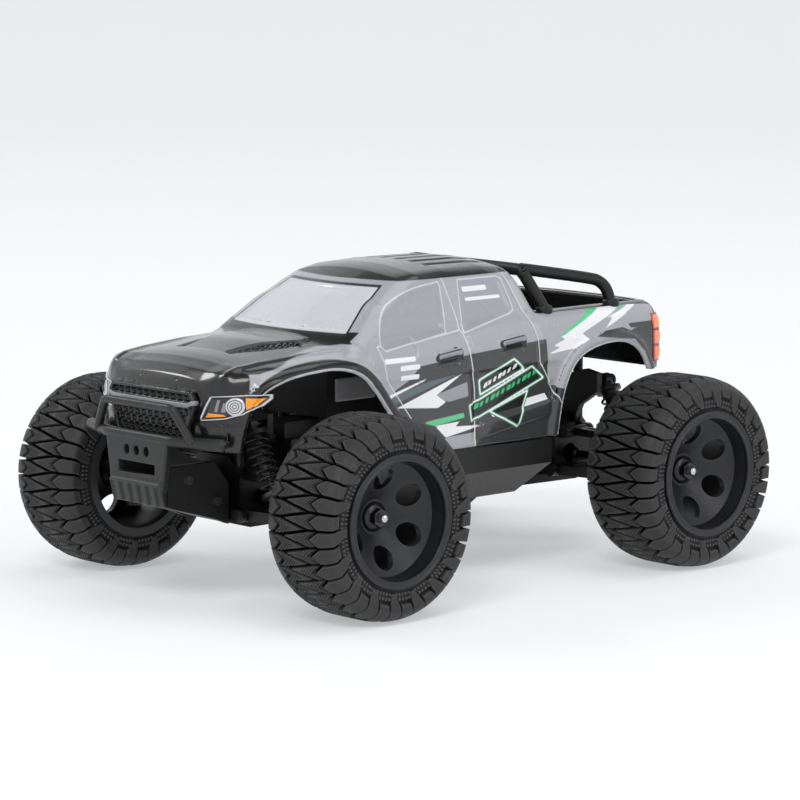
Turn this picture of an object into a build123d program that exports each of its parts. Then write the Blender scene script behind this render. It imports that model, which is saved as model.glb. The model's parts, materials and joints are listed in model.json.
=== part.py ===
from build123d import *
import math
import os

# Radio-controlled monster truck, 1/24 class. Millimetres, +Z up, the truck faces -Y,
# and its left side is +X. The origin is on the ground under the middle of the footprint.

# --- driving dimensions -------------------------------------------------------------------
FRONT_AXLE_Y = -61.0
REAR_AXLE_Y = 71.0
TYRE_R = 30.5
TYRE_W = 28.0
WHEEL_X = 61.0              # middle of the tyre, out from the truck's centre plane
TIP_Y = -101.5              # foremost face of the bumper

# suspension: two equal parallel arms at each corner
ARM_X = 15.0                # inner pivots
HUB_X = 44.0                # outer pivots
LOWER_Z = 26.0
UPPER_Z = 38.0
PIN_R = 1.0
BORE_GAP = 0.08             # radial running clearance
SHOCK_Y = 10.0              # shock's plane, out from the axle
SHOCK_TOP = (18.0, 54.0)    # x, z of the shock's upper eye
SHOCK_FOOT = (32.0, 30.0)   # x, z of the shock's lower eye

# steering
KING_X = 50.0
TIE_Y = -9.0                # tie rod's line, in from the axle
TIE_Z = 37.5
TIE_INNER_X = KING_X - (HUB_X - ARM_X)
HORN_R = 8.5

# drive line
SHAFT_Z = 33.0
SHAFT_R = 1.25
MODULE = 0.4
SPUR_TEETH = 36
PINION_TEETH = 12
GEAR_Y = 46.0
BELLY_SCREW_Y = (-6.0, 12.0, 32.0)

# body shell
SKIN = 1.2
SILL_Z = 41.7
VALANCE_Z = 48.5
TAIL_Z = 59.3
BED_FLOOR_Z = 72.0
BED_X = 27.0
BED_Y = (38.0, 83.5)
RAIL_Z = 81.5
HALF_W = 37.5
ROOF_Z = 98.3


# --- general helpers ----------------------------------------------------------------------
def block(x, y, z):
    """A box given by three (low, high) pairs."""
    size = [high - low for low, high in (x, y, z)]
    middle = [(high + low) / 2 for low, high in (x, y, z)]
    return Pos(*middle) * Box(*size)


def rod(start, end, radius):
    """A round bar between two points."""
    start = Vector(*start)
    end = Vector(*end)
    plane = Plane(origin=(start + end) / 2, z_dir=end - start)
    return plane * Cylinder(radius, (end - start).length)


def pipe_run(points, radius):
    """Round bars through the points, with a ball at each bend."""
    shape = rod(points[0], points[1], radius)
    for start, end in zip(points[1:-1], points[2:]):
        shape += Pos(*start) * Sphere(radius)
        shape += rod(start, end, radius)
    return shape


def prism(plane, points, low, high, inset=0.0):
    """A closed outline on a plane, drawn in by inset, from low to high along its normal."""
    face = make_face(Polyline(*points, close=True))
    if inset:
        face = offset(face, amount=-inset, kind=Kind.INTERSECTION)
    solid = extrude(face, amount=high - low, dir=(0, 0, 1))
    return plane * Pos(0, 0, low) * solid


def side_prism(points, low, high, inset=0.0):
    """An outline of (y, z) points from x = low to x = high."""
    return prism(Plane.YZ, points, low, high, inset)


def front_prism(points, low, high, inset=0.0):
    """An outline of (x, z) points from y = low to y = high."""
    facing = Plane(origin=(0, 0, 0), x_dir=(-1, 0, 0), z_dir=(0, 1, 0))
    turned = [(-x, z) for x, z in points]
    return prism(facing, turned, low, high, inset)


def plan_prism(points, low, high, inset=0.0):
    """An outline of (x, y) points from z = low to z = high."""
    return prism(Plane.XY, points, low, high, inset)


def both_sides(points):
    """A half outline and its mirror image about the first coordinate, as one loop."""
    return points + [(-a, b) for a, b in reversed(points) if a != 0]


def flip_x(shape):
    return mirror(shape, about=Plane.YZ)


def save(node, *solids):
    """One STEP file for a node, its solids kept separate."""
    pieces = []
    for shape in solids:
        pieces += shape.solids()
    shape = pieces[0] if len(pieces) == 1 else Compound(children=pieces)
    export_step(shape, "parts/" + node + ".step")


def place(shape, side, end):
    """Move a corner's piece, drawn for the left with +Y away from the middle, to its corner."""
    if end == "front":
        shape = Pos(0, FRONT_AXLE_Y, 0) * mirror(shape, about=Plane.XZ)
    else:
        shape = Pos(0, REAR_AXLE_Y, 0) * shape
    return flip_x(shape) if side == "right" else shape


# --- wheels, drawn about the line y = 0, z = TYRE_R ------------------------------------------
def turned(points):
    """Revolve an outline of (x, radius) points about the axle line."""
    face = make_face(Polyline(*[(x, r) for x, r in points], close=True))
    solid = revolve(face, axis=Axis.X, revolution_arc=360)
    return Pos(0, 0, TYRE_R) * Rot(90, 0, 0) * solid


def tyre():
    half = TYRE_W / 2
    side = [(half - 2.4, 18.05), (half - 1.8, 20.05), (half - 0.2, 21.0), (half, 24.0),
            (half - 0.8, 27.2), (half - 2.6, 29.2), (half - 6.0, 30.2), (2.0, TYRE_R)]
    loop = [(WHEEL_X + x, r) for x, r in side]
    loop += [(WHEEL_X - x, r) for x, r in reversed(side)]
    return turned(loop)


def rim():
    """Wheel barrel, and the dished disc inside it with six round holes, as two solids."""
    barrel = turned([
        (47.4, 20.0), (48.8, 20.0), (49.3, 18.0), (72.7, 18.0), (73.3, 19.8), (73.6, 20.0), (74.2, 20.0),
        (74.6, 19.6), (74.6, 18.1), (74.3, 17.7), (69.3, 17.0), (49.5, 17.0), (47.4, 17.4)])
    disc = turned([
        (69.3, 17.0), (66.5, 12.0), (62.5, 5.2), (62.5, 2.05), (57.2, 2.05), (57.2, 6.2), (60.8, 6.4),
        (64.6, 12.2), (67.2, 17.0)])
    for index in range(6):
        angle = math.radians(30 + 60 * index)
        y = 11.8 * math.cos(angle)
        z = TYRE_R + 11.8 * math.sin(angle)
        disc -= rod((60, y, z), (72, y, z), 3.5)
    socket = Pos(58.6, 0, TYRE_R) * Rot(0, 90, 0) * extrude(RegularPolygon(4.1, 6), 1.45, both=True)
    return barrel, disc - socket


def axle():
    """Stub axle, drive hexagon and flanged wheel nut, as three solids."""
    z = TYRE_R
    shaft = rod((51.5, 0, z), (62.5, 0, z), 2.0) + rod((62.5, 0, z), (67.5, 0, z), 1.3)
    hexagon = Pos(57.2, 0, z) * Rot(0, 90, 0) * extrude(RegularPolygon(4.0, 6), 2.8)
    hexagon -= rod((57, 0, z), (60.5, 0, z), 2.0)
    nut = rod((62.5, 0, z), (63.3, 0, z), 3.5)
    nut += Pos(63.3, 0, z) * Rot(0, 90, 0) * extrude(RegularPolygon(2.8, 6), 2.4)
    nut -= rod((62, 0, z), (66, 0, z), 1.3)
    return shaft, hexagon, nut


# --- one corner of the suspension, drawn for the left with +Y away from the middle -----------
def lower_arm():
    plate = plan_prism([(ARM_X, -10), (ARM_X, 10), (HUB_X - 1, 4), (HUB_X - 1, -4)],
                       LOWER_Z - 1.6, LOWER_Z + 1.6)
    plate -= plan_prism([(19, -6), (19, 6), (27, 4.4), (27, -4.4)], 20, 32)
    plate -= plan_prism([(30, -4), (30, 4), (39, 2.2), (39, -2.2)], 20, 32)
    plate += rod((ARM_X, -10, LOWER_Z), (ARM_X, 10, LOWER_Z), 2.0)
    plate += rod((HUB_X, -4, LOWER_Z), (HUB_X, 4, LOWER_Z), 2.0)
    x, z = SHOCK_FOOT
    plate += block((x - 2.5, x + 2.5), (4.6, SHOCK_Y - 1.7), (LOWER_Z, z + 2.2))
    plate += rod((x, 5, z), (x, SHOCK_Y + 2.0, z), 1.0)
    plate += rod((x, SHOCK_Y + 2.0, z), (x, SHOCK_Y + 2.8, z), 1.9)
    for x in (ARM_X, HUB_X):
        plate -= rod((x, -12, LOWER_Z), (x, 12, LOWER_Z), PIN_R + BORE_GAP)
    return plate


def upper_arm():
    bar = block((ARM_X, HUB_X), (-2.5, 2.5), (UPPER_Z - 1.2, UPPER_Z + 1.2))
    bar -= block((20, 38), (-1.0, 1.0), (UPPER_Z + 0.4, UPPER_Z + 2))
    bar += rod((ARM_X, -4, UPPER_Z), (ARM_X, 4, UPPER_Z), 1.8)
    bar += rod((HUB_X, -2.5, UPPER_Z), (HUB_X, 2.5, UPPER_Z), 1.8)
    for x in (ARM_X, HUB_X):
        bar -= rod((x, -12, UPPER_Z), (x, 12, UPPER_Z), PIN_R + BORE_GAP)
    return bar


def carrier_lugs():
    """Ears that hold the arms' outer ends, with their hinge pins."""
    shape = None
    for z, gap in ((LOWER_Z, 4.3), (UPPER_Z, 2.8)):
        for side in (-1, 1):
            y = sorted((side * gap, side * (gap + 1.6)))
            ear = block((HUB_X, 46.6), y, (z - 1.9, z + 1.9))
            ear += rod((HUB_X, y[0], z), (HUB_X, y[1], z), 1.9)
            shape = ear if shape is None else shape + ear
        shape += rod((HUB_X, -gap - 1.6, z), (HUB_X, gap + 1.6, z), PIN_R)
    return shape


def c_hub():
    """Steering block carrier: a C that holds the knuckle between two kingpins."""
    shape = carrier_lugs() + block((46.3, 47.8), (-5.9, 5.9), (21.0, 40.0))
    for z in ((38.3, 40.0), (21.0, 22.7)):
        shape += block((46.3, 50.0), (-3.0, 3.0), z)
        shape += rod((KING_X, 0, z[0]), (KING_X, 0, z[1]), 3.0)
        shape -= rod((KING_X, 0, z[0] - 1), (KING_X, 0, z[1] + 1), 1.0)
    shape -= rod((45, 0, TYRE_R), (49, 0, TYRE_R), 3.4)
    shape -= block((46, 49), (-7, -1.0), (32.6, 36.6))
    upper_pin = rod((KING_X, 0, 35.0), (KING_X, 0, 40.0), 1.0) + rod((KING_X, 0, 40.0), (KING_X, 0, 40.8), 1.9)
    lower_pin = rod((KING_X, 0, 26.0), (KING_X, 0, 21.0), 1.0) + rod((KING_X, 0, 21.0), (KING_X, 0, 20.2), 1.9)
    return shape, upper_pin, lower_pin


def bearing(x):
    ring = rod((x, 0, TYRE_R), (x + 2.0, 0, TYRE_R), 4.0)
    return ring - rod((x - 1, 0, TYRE_R), (x + 3, 0, TYRE_R), 2.0 + BORE_GAP)


def knuckle():
    housing = rod((50.6, 0, TYRE_R), (56.4, 0, TYRE_R), 5.6)
    housing += rod((KING_X, 0, 23.0), (KING_X, 0, 38.0), 1.9)
    housing += block((KING_X - 1.1, KING_X + 1.1), (TIE_Y, -2.0), (33.4, 35.4))
    housing += rod((KING_X, TIE_Y, 33.4), (KING_X, TIE_Y, 35.4), 1.6)
    housing += rod((KING_X, TIE_Y, 35.0), (KING_X, TIE_Y, 39.4), 0.8)
    housing -= rod((45, 0, TYRE_R), (60, 0, TYRE_R), 4.0)
    for z in ((33.5, 40.0), (20.0, 27.5)):
        housing -= rod((KING_X, 0, z[0]), (KING_X, 0, z[1]), 1.0 + BORE_GAP)
    return housing, bearing(51.2), bearing(54.2)


def hub_carrier():
    shape = carrier_lugs() + block((46.3, 48.3), (-5.9, 5.9), (24.1, 39.9))
    shape += rod((46.3, 0, TYRE_R), (56.4, 0, TYRE_R), 5.6)
    shape -= rod((45, 0, TYRE_R), (60, 0, TYRE_R), 4.0)
    return shape, bearing(51.2), bearing(54.2)


def shock_point(distance):
    """A point on the shock's axis, at a distance below its upper eye."""
    top = Vector(SHOCK_TOP[0], SHOCK_Y, SHOCK_TOP[1])
    foot = Vector(SHOCK_FOOT[0], SHOCK_Y, SHOCK_FOOT[1])
    return top + (foot - top).normalized() * distance


SHOCK_LENGTH = math.dist(SHOCK_TOP, SHOCK_FOOT)
SPRING_TOP = 4.2
SPRING_FOOT = SHOCK_LENGTH - 5.4


def shock_rod_between(near, far, radius):
    return rod(tuple(shock_point(near)), tuple(shock_point(far)), radius)


def eye(x, z, radius):
    return rod((x, SHOCK_Y - 1.4, z), (x, SHOCK_Y + 1.4, z), radius)


def shock_cylinder():
    shape = eye(*SHOCK_TOP, 2.4) + shock_rod_between(1.0, 17.0, 2.3)
    shape += shock_rod_between(SPRING_TOP - 1.2, SPRING_TOP, 4.2)
    shape -= shock_rod_between(9.0, 20.0, 1.5)
    return shape - rod((SHOCK_TOP[0], 4, SHOCK_TOP[1]), (SHOCK_TOP[0], 15, SHOCK_TOP[1]), 1.1)


def shock_rod():
    shape = eye(*SHOCK_FOOT, 2.2) + shock_rod_between(13.0, SHOCK_LENGTH - 1.5, 0.9)
    shape += shock_rod_between(SPRING_FOOT, SPRING_FOOT + 1.2, 4.2)
    shape += shock_rod_between(12.5, 14.0, 1.4)
    return shape - rod((SHOCK_FOOT[0], 4, SHOCK_FOOT[1]), (SHOCK_FOOT[0], 15, SHOCK_FOOT[1]), 1.4)


def spring():
    length = SPRING_FOOT - SPRING_TOP
    path = Helix(pitch=(length - 1.0) / 7, height=length - 1.0, radius=3.4)
    section = Plane(origin=path @ 0, z_dir=path % 0) * Circle(0.42)
    coil = sweep(section, path=path)
    start = shock_point(SPRING_TOP + 0.5)
    direction = shock_point(SPRING_FOOT) - start
    return Plane(origin=start, z_dir=direction) * coil


def corner_name(side, end):
    return end + "_" + side


def make_corner(side, end):
    name = corner_name(side, end)
    save("tyre_" + name, place(tyre(), side, end))
    save("rim_" + name, *[place(piece, side, end) for piece in rim()])
    save("axle_" + name, *[place(piece, side, end) for piece in axle()])
    save("lower_arm_" + name, place(lower_arm(), side, end))
    save("upper_arm_" + name, place(upper_arm(), side, end))
    save("shock_cylinder_" + name, place(shock_cylinder(), side, end))
    save("shock_rod_" + name, place(shock_rod(), side, end))
    save("spring_" + name, place(spring(), side, end))
    if end == "front":
        save("c_hub_" + name, *[place(piece, side, end) for piece in c_hub()])
        save("knuckle_" + name, *[place(piece, side, end) for piece in knuckle()])
    else:
        save("hub_carrier_" + name, *[place(piece, side, end) for piece in hub_carrier()])


# --- gearboxes with shock towers ------------------------------------------------------------
GEARBOX_X = 12.0
GEARBOX_BASE = 24.5


def gearbox(post_top):
    """Drawn with +Y away from the middle, about the axle at y = 0."""
    half = [(0, 43), (7, 43), (GEARBOX_X, 38), (GEARBOX_X, GEARBOX_BASE)]
    shape = front_prism(both_sides(half), -7, 9)
    tower = [(0, 50), (8, 56), (15, 58), (21, 57), (21, 51), (13, 46), (10, 40)]
    shape += front_prism(both_sides(tower), 3.4, 5.6)
    for side in (-1, 1):
        for z, gap in ((LOWER_Z, 10.4), (UPPER_Z, 4.3)):
            for end in (-1, 1):
                y = sorted((end * gap, end * (gap + 1.8)))
                x = sorted((side * 9.0, side * ARM_X))
                shape += block(x, y, (max(z - 2, GEARBOX_BASE), z + 2))
                shape += rod((side * ARM_X, y[0], z), (side * ARM_X, y[1], z), 2.0)
            shape += rod((side * ARM_X, -gap - 1.8, z), (side * ARM_X, gap + 1.8, z), PIN_R)
        x, z = SHOCK_TOP
        shape += rod((side * x, 5, z), (side * x, SHOCK_Y + 2.6, z), 1.0)
        shape += rod((side * x, SHOCK_Y + 2.6, z), (side * x, SHOCK_Y + 3.4, z), 1.9)
        shape += rod((side * 9.0, 6.6, 38), (side * 9.0, 6.6, post_top), 1.6)
    for low, high in ((-12.2, -7.0), (9.0, 12.2)):
        shape += block((-9.0, 9.0), (low, high), (GEARBOX_BASE, 28.0))
    shape -= rod((0, -13, SHAFT_Z), (0, -2, SHAFT_Z), SHAFT_R + BORE_GAP)
    for side in (-1, 1):
        shape -= rod((side * 8, 0, TYRE_R), (side * 14, 0, TYRE_R), 3.0)
    return shape


# --- chassis ----------------------------------------------------------------------------------
def chassis_tub():
    outer = [(0, 22.0), (20, 22.0), (36.8, 33.5), (36.8, 41.2), (34.4, 41.2), (34.4, 35.0),
             (19.0, GEARBOX_BASE), (0, GEARBOX_BASE)]
    shape = front_prism(both_sides(outer), -13.0, 38.0)
    neck = [(-14, 22.0), (38, 22.0), (38, GEARBOX_BASE), (-14, GEARBOX_BASE)]
    shape += side_prism(neck, -12, 12)
    nose = [(TIP_Y + 3.5, 31.0), (-66, 21.5), (-12, 22.0), (-12, GEARBOX_BASE), (-73, GEARBOX_BASE),
            (TIP_Y + 3.5, 34.5)]
    shape += side_prism(nose, -12, 12)
    tail = [(37, 22.0), (74, 21.5), (95, 29.0), (95, 32.5), (84, GEARBOX_BASE), (37, GEARBOX_BASE)]
    shape += side_prism(tail, -12, 12)
    for side in (-1, 1):
        x = sorted((side * 9.5, side * 12.0))
        cheek = [(TIP_Y + 3.5, 33), (TIP_Y + 3.5, 43), (-80, 43), (-74.5, 36), (-74.5, GEARBOX_BASE - 1)]
        shape += side_prism(cheek, *x)
        tail_cheek = [(86.0, GEARBOX_BASE), (86.0, 38), (94.5, 38), (94.5, 30.5)]
        shape += side_prism(tail_cheek, *sorted((side * 9.4, side * 11.9)))
    shape += block((-6.5, 6.5), (-47, -27), (GEARBOX_BASE, 29.5)) - block((-3, 3), (-48, -26), (25, 30))
    for side in (-1, 1):
        for y in (-45.5, -28.5):
            shape += rod((side * 8, y, 23), (side * 8, y, 44), 1.8)
            shape += block(sorted((side * 5.0, side * 8.0)), (y - 1.5, y + 1.5), (23, 30))
    shape += block((-15, -4), (22, 40), (24, 26.05))
    for y in (-6, 30):
        shape += block((5, 18), (y, y + 3), (24, 29.5))
    for side in (-1, 1):
        for y in BELLY_SCREW_Y:
            shape -= rod((side * 9, y, 21.0), (side * 9, y, 22.9), 1.6)
    return shape


def front_bumper():
    hoop = [(22.0, -97.3, 51.6), (15.8, -99.2, 61.1), (-15.8, -99.2, 61.1), (-22.0, -97.3, 51.6)]
    shape = pipe_run(hoop, 1.3)
    bar = [(31.4, -92.4, 51.4), (15.0, -98.6, 51.4), (-15.0, -98.6, 51.4), (-31.4, -92.4, 51.4)]
    shape += pipe_run(bar, 1.75)
    plate = [(0, 51.4), (14.8, 51.4), (12.4, 36.0), (0, 36.0)]
    shape += front_prism(both_sides(plate), TIP_Y + 1.3, TIP_Y + 3.5)
    shape -= block((-8.6, 8.6), (TIP_Y - 1, TIP_Y + 9), (40.2, 43.6))
    for x in (-4.6, 0.0, 4.6):
        slot = Plane.XZ * Pos(x, 47.2, 0) * extrude(SlotCenterToCenter(1.2, 1.6, rotation=90), 200, both=True)
        shape -= slot
    skid = [(TIP_Y + 3.4, 39.6), (TIP_Y + 1.4, 39.6), (TIP_Y, 37.6), (TIP_Y + 1.6, 31.0), (TIP_Y + 3.4, 30.6)]
    shape += side_prism(skid, -12.4, 12.4)
    for index in range(6):
        x = -10.5 + 4.2 * index
        shape -= block((x - 1.1, x + 1.1), (TIP_Y - 1, TIP_Y + 0.75), (30, 37.2))
    for side in (-1, 1):
        x = sorted((side * 9.6, side * 13.4))
        arm = [(TIP_Y + 3.2, 43.2), (TIP_Y + 3.2, 50.2), (-95.6, 50.2), (-93.6, 47.6), (-84.0, 43.2)]
        shape += side_prism(arm, *x)
    return shape


def chassis_screws():
    """Screw heads: those in the belly lie sunk below its face."""
    heads = []
    for side in (-1, 1):
        for y in BELLY_SCREW_Y:
            heads.append(rod((side * 9, y, 22.1), (side * 9, y, 22.9), 1.5))
        for y, z in ((-90.0, 38.5), (-79.0, 31.0)):
            heads.append(rod((side * 12.0, y, z), (side * 12.8, y, z), 1.4))
        heads.append(rod((side * 12.0, 90.0, 34.5), (side * 12.8, 90.0, 34.5), 1.4))
    return heads


# --- power, control and drive -----------------------------------------------------------------
def gear(teeth, width, bore):
    """A plain spur gear about +Z with slim straight-sided teeth."""
    pitch_r = MODULE * teeth / 2
    step = 2 * math.pi / teeth
    points = []
    for index in range(teeth):
        for share, radius in ((-0.27, pitch_r - 1.2 * MODULE), (-0.11, pitch_r + 0.8 * MODULE),
                              (0.11, pitch_r + 0.8 * MODULE), (0.27, pitch_r - 1.2 * MODULE)):
            angle = step * (index + share)
            points.append((radius * math.cos(angle), radius * math.sin(angle)))
    return plan_prism(points, 0, width) - Cylinder(bore, 4 * width)


def on_y_axis(shape, x, y, z, turn=0.0):
    """Turn a shape about +Z so that it lies along +Y at the given point."""
    return Pos(x, y, z) * Rot(-90, 0, 0) * Rot(0, 0, turn) * shape


PINION_X = -MODULE * (SPUR_TEETH + PINION_TEETH) / 2


def spur_gear():
    return on_y_axis(gear(SPUR_TEETH, 3.0, SHAFT_R), 0, GEAR_Y, SHAFT_Z)


def drive_shaft():
    start = FRONT_AXLE_Y + 3.5
    return rod((0, start, SHAFT_Z), (0, REAR_AXLE_Y - 3.5, SHAFT_Z), SHAFT_R)


def pinion_gear():
    turn = 180.0 / PINION_TEETH
    shape = on_y_axis(gear(PINION_TEETH, 4.0, 0.75), PINION_X, GEAR_Y - 0.5, SHAFT_Z, turn)
    return shape


def motor():
    can = rod((PINION_X, 21, SHAFT_Z), (PINION_X, 41.5, SHAFT_Z), 6.95)
    can += rod((PINION_X, 41.5, SHAFT_Z), (PINION_X, 42.8, SHAFT_Z), 2.6)
    can -= rod((PINION_X, 22, SHAFT_Z), (PINION_X, 60, SHAFT_Z), 0.75 + BORE_GAP)
    return can


def motor_shaft():
    return rod((PINION_X, 24, SHAFT_Z), (PINION_X, GEAR_Y + 4.5, SHAFT_Z), 0.75)


def servo():
    shape = block((-6, 6), (-47.0, -27.5), (38.5, 51.0))
    for side in (-1, 1):
        x = sorted((side * 6, side * 9.2))
        shape += block(x, (-47.0, -27.5), (44.0, 46.0))
    return shape


def servo_horn():
    y = FRONT_AXLE_Y - TIE_Y
    horn = rod((0, y + 2.0, 46), (0, y + 4.6, 46), 2.6)
    horn += block((-1.6, 1.6), (y + 2.0, y + 3.6), (46 - HORN_R, 46))
    horn += rod((0, y + 2.0, 46 - HORN_R), (0, y + 3.6, 46 - HORN_R), 1.6)
    horn += rod((0, y - 1.6, 46 - HORN_R), (0, y + 2.4, 46 - HORN_R), 0.8)
    return horn


def steering_link():
    y = FRONT_AXLE_Y - TIE_Y
    shape = block((-TIE_INNER_X + 2.6, TIE_INNER_X - 2.6), (y - 1.3, y + 1.3), (TIE_Z - 1.6, TIE_Z + 1.9))
    shape -= block((-1.1, 1.1), (y - 2, y + 2), (TIE_Z - 1.0, TIE_Z + 1.6))
    for side in (-1, 1):
        for low, high in ((-2.6, -1.5), (1.5, 2.6)):
            x = sorted((side * (TIE_INNER_X - 3.0), side * TIE_INNER_X))
            shape += block(x, (y + low, y + high), (TIE_Z - 1.4, TIE_Z + 1.4))
        x = sorted((side * (TIE_INNER_X - 3.6), side * (TIE_INNER_X - 2.4)))
        shape += block(x, (y - 2.6, y + 2.6), (TIE_Z - 1.4, TIE_Z + 1.4))
        shape += rod((side * TIE_INNER_X, y - 2.6, TIE_Z), (side * TIE_INNER_X, y + 2.6, TIE_Z), 0.7)
    return shape


def tie_rod():
    """Drawn in place for the left side."""
    y = FRONT_AXLE_Y - TIE_Y
    shape = rod((TIE_INNER_X, y, TIE_Z), (KING_X - 2.0, y, TIE_Z), 1.0)
    shape += rod((TIE_INNER_X, y - 1.2, TIE_Z), (TIE_INNER_X, y + 1.2, TIE_Z), 1.7)
    shape += rod((KING_X, y, TIE_Z - 1.2), (KING_X, y, TIE_Z + 1.2), 2.6)
    shape -= rod((KING_X, y, TIE_Z - 3), (KING_X, y, TIE_Z + 3), 1.75)
    return shape - rod((TIE_INNER_X, y - 3, TIE_Z), (TIE_INNER_X, y + 3, TIE_Z), 0.7 + BORE_GAP)


def battery():
    return fillet(block((3, 25), (-10, 36), (29.5, 44)).edges(), 1.5)


def control_unit():
    shape = block((-14, 14), (-36.5, -14), (52.0, 68.0))
    shape -= rod((6, -25, 66.0), (6, -25, 70), 2.6)
    for x in (-11.0, 11.0):
        for y in (-33.0, -17.0):
            shape += rod((x, y, 22.5 + 2.0), (x, y, 53.0), 1.5)
    return shape


def power_button():
    return rod((6, -25, 66.9), (6, -25, 69.4), 2.5)


# --- body shell -------------------------------------------------------------------------------
def silhouette(points, inset):
    return side_prism(points, -60, 60, inset)


def body_mass(inset):
    """The body's outer form, drawn in by inset, closed and open to nothing."""
    low = 25.0
    hood_side = [(-94.0, low), (-94.0, 62.0), (-92.6, 66.5), (-88.5, 72.3), (-80, 74.6), (-60, 76.5),
                 (-42.0, 77.6), (-30, 77.6), (-30, low)]
    hood_front = [(HALF_W, low), (HALF_W, 70.0), (36.3, 73.5), (33.0, 75.6), (20, 77.2), (0, 77.8)]
    hood = silhouette(hood_side, inset) & front_prism(both_sides(hood_front), -120, 120, inset)
    rear_side = [(-46.0, low), (-46.0, 74.0), (-20, 76.6), (6, 79.3), (26, RAIL_Z), (87.0, RAIL_Z),
                 (88.6, 80.0), (90.4, 70.0), (88.6, low)]
    rear_front = [(HALF_W, low), (HALF_W, 72.0), (35.6, RAIL_Z + 2), (0, RAIL_Z + 2)]
    rear = silhouette(rear_side, inset) & front_prism(both_sides(rear_front), -120, 120, inset)
    cab_side = [(-50, low), (-50, 72.1), (-20.7, 92.0), (-16.5, 96.0), (-9, 97.9), (3, ROOF_Z),
                (20, 98.0), (29.6, 96.2), (31, 94.0), (35.5, 80.0), (35.5, low)]
    cab_front = [(HALF_W, low), (HALF_W, 72.0), (33.5, 79.0), (26.2, 94.0), (24.0, 96.2),
                 (14, 97.8), (0, ROOF_Z)]
    cab = silhouette(cab_side, inset) & front_prism(both_sides(cab_front), -120, 120, inset)
    plan = [(19.5, -94.6), (25.5, -91.0), (33.0, -83.0), (36.6, -75.0), (HALF_W, -60.0),
            (HALF_W, 78.0), (36.0, 88.0), (33.0, 91.0)]
    return (hood + rear + cab) & plan_prism(both_sides(plan), 0, 150, inset)


def bed_recess(grow):
    return block((-BED_X - grow, BED_X + grow), (BED_Y[0] - grow, BED_Y[1] + grow), (BED_FLOOR_Z - grow, 120))


def arch_cutter():
    """Wheel openings and the stepped lower edge, cut right across."""
    front_top = Spline((-85.6, 47.0), (-83.6, 60.0), (-78.5, 67.2), (-66.0, 70.1), (-50.0, 70.1),
                       (-39.5, 64.2), (-29.0, 50.0), (-21.0, 40.0))
    front = make_face([front_top, Line((-21.0, 40.0), (-85.6, 47.0))])
    rear_top = Spline((39.8, 40.0), (41.6, 50.5), (46.0, 62.0), (55.0, 68.0), (68.0, 69.2),
                      (77.2, 65.0), (82.0, 57.0))
    rear = make_face([rear_top, Line((82.0, 57.0), (39.8, 40.0))])
    shape = Plane.YZ * (extrude(front, amount=60, both=True) + extrude(rear, amount=60, both=True))
    shape += block((-60, 60), (-120, -84.0), (0, VALANCE_Z))
    shape += block((-60, 60), (-85.0, -20.0), (0, 47.5)) - block((-60, 60), (-29, -19), (SILL_Z, 60))
    shape += block((-60, 60), (-40, 120), (0, SILL_Z))
    shape += block((-60, 60), (41.0, 120), (0, 57.5)) + block((-60, 60), (78, 120), (0, TAIL_Z))
    return shape


def body_shell():
    outer = body_mass(0.0) - bed_recess(0.0)
    inner = body_mass(SKIN) - bed_recess(SKIN)
    return outer - inner - arch_cutter()


def patch(window, thickness):
    """A thin layer that lies on the body's skin inside a window."""
    return (body_mass(-thickness) - body_mass(0.0)) & window


def headlights():
    lamp = [(20.5, 57.8), (23.5, 64.7), (37.0, 65.6), (38.0, 62.5), (32.0, 59.6)]
    left = patch(front_prism(lamp, -110, -78), 0.6)
    return left, flip_x(left)


def taillights():
    left = patch(block((30.0, 40.0), (84.5, 95.0), (61.5, 77.5)), 0.6)
    return left, flip_x(left)


def grille():
    face_y = -94.0
    outline = [(0, 66.0), (19.0, 66.0), (20.5, 62.0), (16.0, 50.5), (0, 50.5)]
    frame = front_prism(both_sides(outline), face_y - 1.6, face_y)
    frame -= front_prism(both_sides([(0, 64.9), (17.6, 64.9), (17.9, 63.2), (0, 63.2)]), -97, -94.5)
    frame -= front_prism(both_sides([(0, 61.6), (18.8, 61.6), (14.8, 51.6), (0, 51.6)]), -97, -94.5)
    return frame


def roll_bar():
    """Sports bar on the bed rails: a hoop behind the cab and two braces that slope back."""
    hoop = [(31.0, 40.0, RAIL_Z), (25.2, 36.2, 94.3), (23.2, 35.6, 96.1), (-23.2, 35.6, 96.1),
            (-25.2, 36.2, 94.3), (-31.0, 40.0, RAIL_Z)]
    shape = pipe_run(hoop, 1.95)
    for side in (-1, 1):
        brace = [(side * 24.4, 35.8, 95.6), (side * 28.4, 64.5, 89.2), (side * 29.9, 68.0, 87.2),
                 (side * 31.0, 70.0, RAIL_Z)]
        shape += pipe_run(brace, 1.95)
    return shape - block((-40, 40), (30, 80), (60, RAIL_Z))


# --- write every node ---------------------------------------------------------------------------
os.makedirs("parts", exist_ok=True)
for corner_end in ("front", "rear"):
    for corner_side in ("left", "right"):
        make_corner(corner_side, corner_end)

save("front_gearbox", Pos(0, FRONT_AXLE_Y, 0) * mirror(gearbox(72.5), about=Plane.XZ))
save("rear_gearbox", Pos(0, REAR_AXLE_Y, 0) * gearbox(BED_FLOOR_Z - SKIN - 0.4))
save("chassis_tub", chassis_tub())
save("front_bumper", front_bumper())
save("chassis_screws", *chassis_screws())
save("servo", servo())
save("servo_horn", servo_horn())
save("steering_link", steering_link())
save("tie_rod_left", tie_rod())
save("tie_rod_right", flip_x(tie_rod()))
save("motor", motor())
save("spur_gear", spur_gear())
save("drive_shaft", drive_shaft())
save("pinion_gear", pinion_gear(), motor_shaft())
save("battery", battery())
save("control_unit", control_unit())
save("power_button", power_button())
save("body_shell", body_shell())
save("grille", grille())
save("headlights", *headlights())
save("taillights", *taillights())
save("roll_bar", roll_bar())
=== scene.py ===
import json
import math

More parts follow.
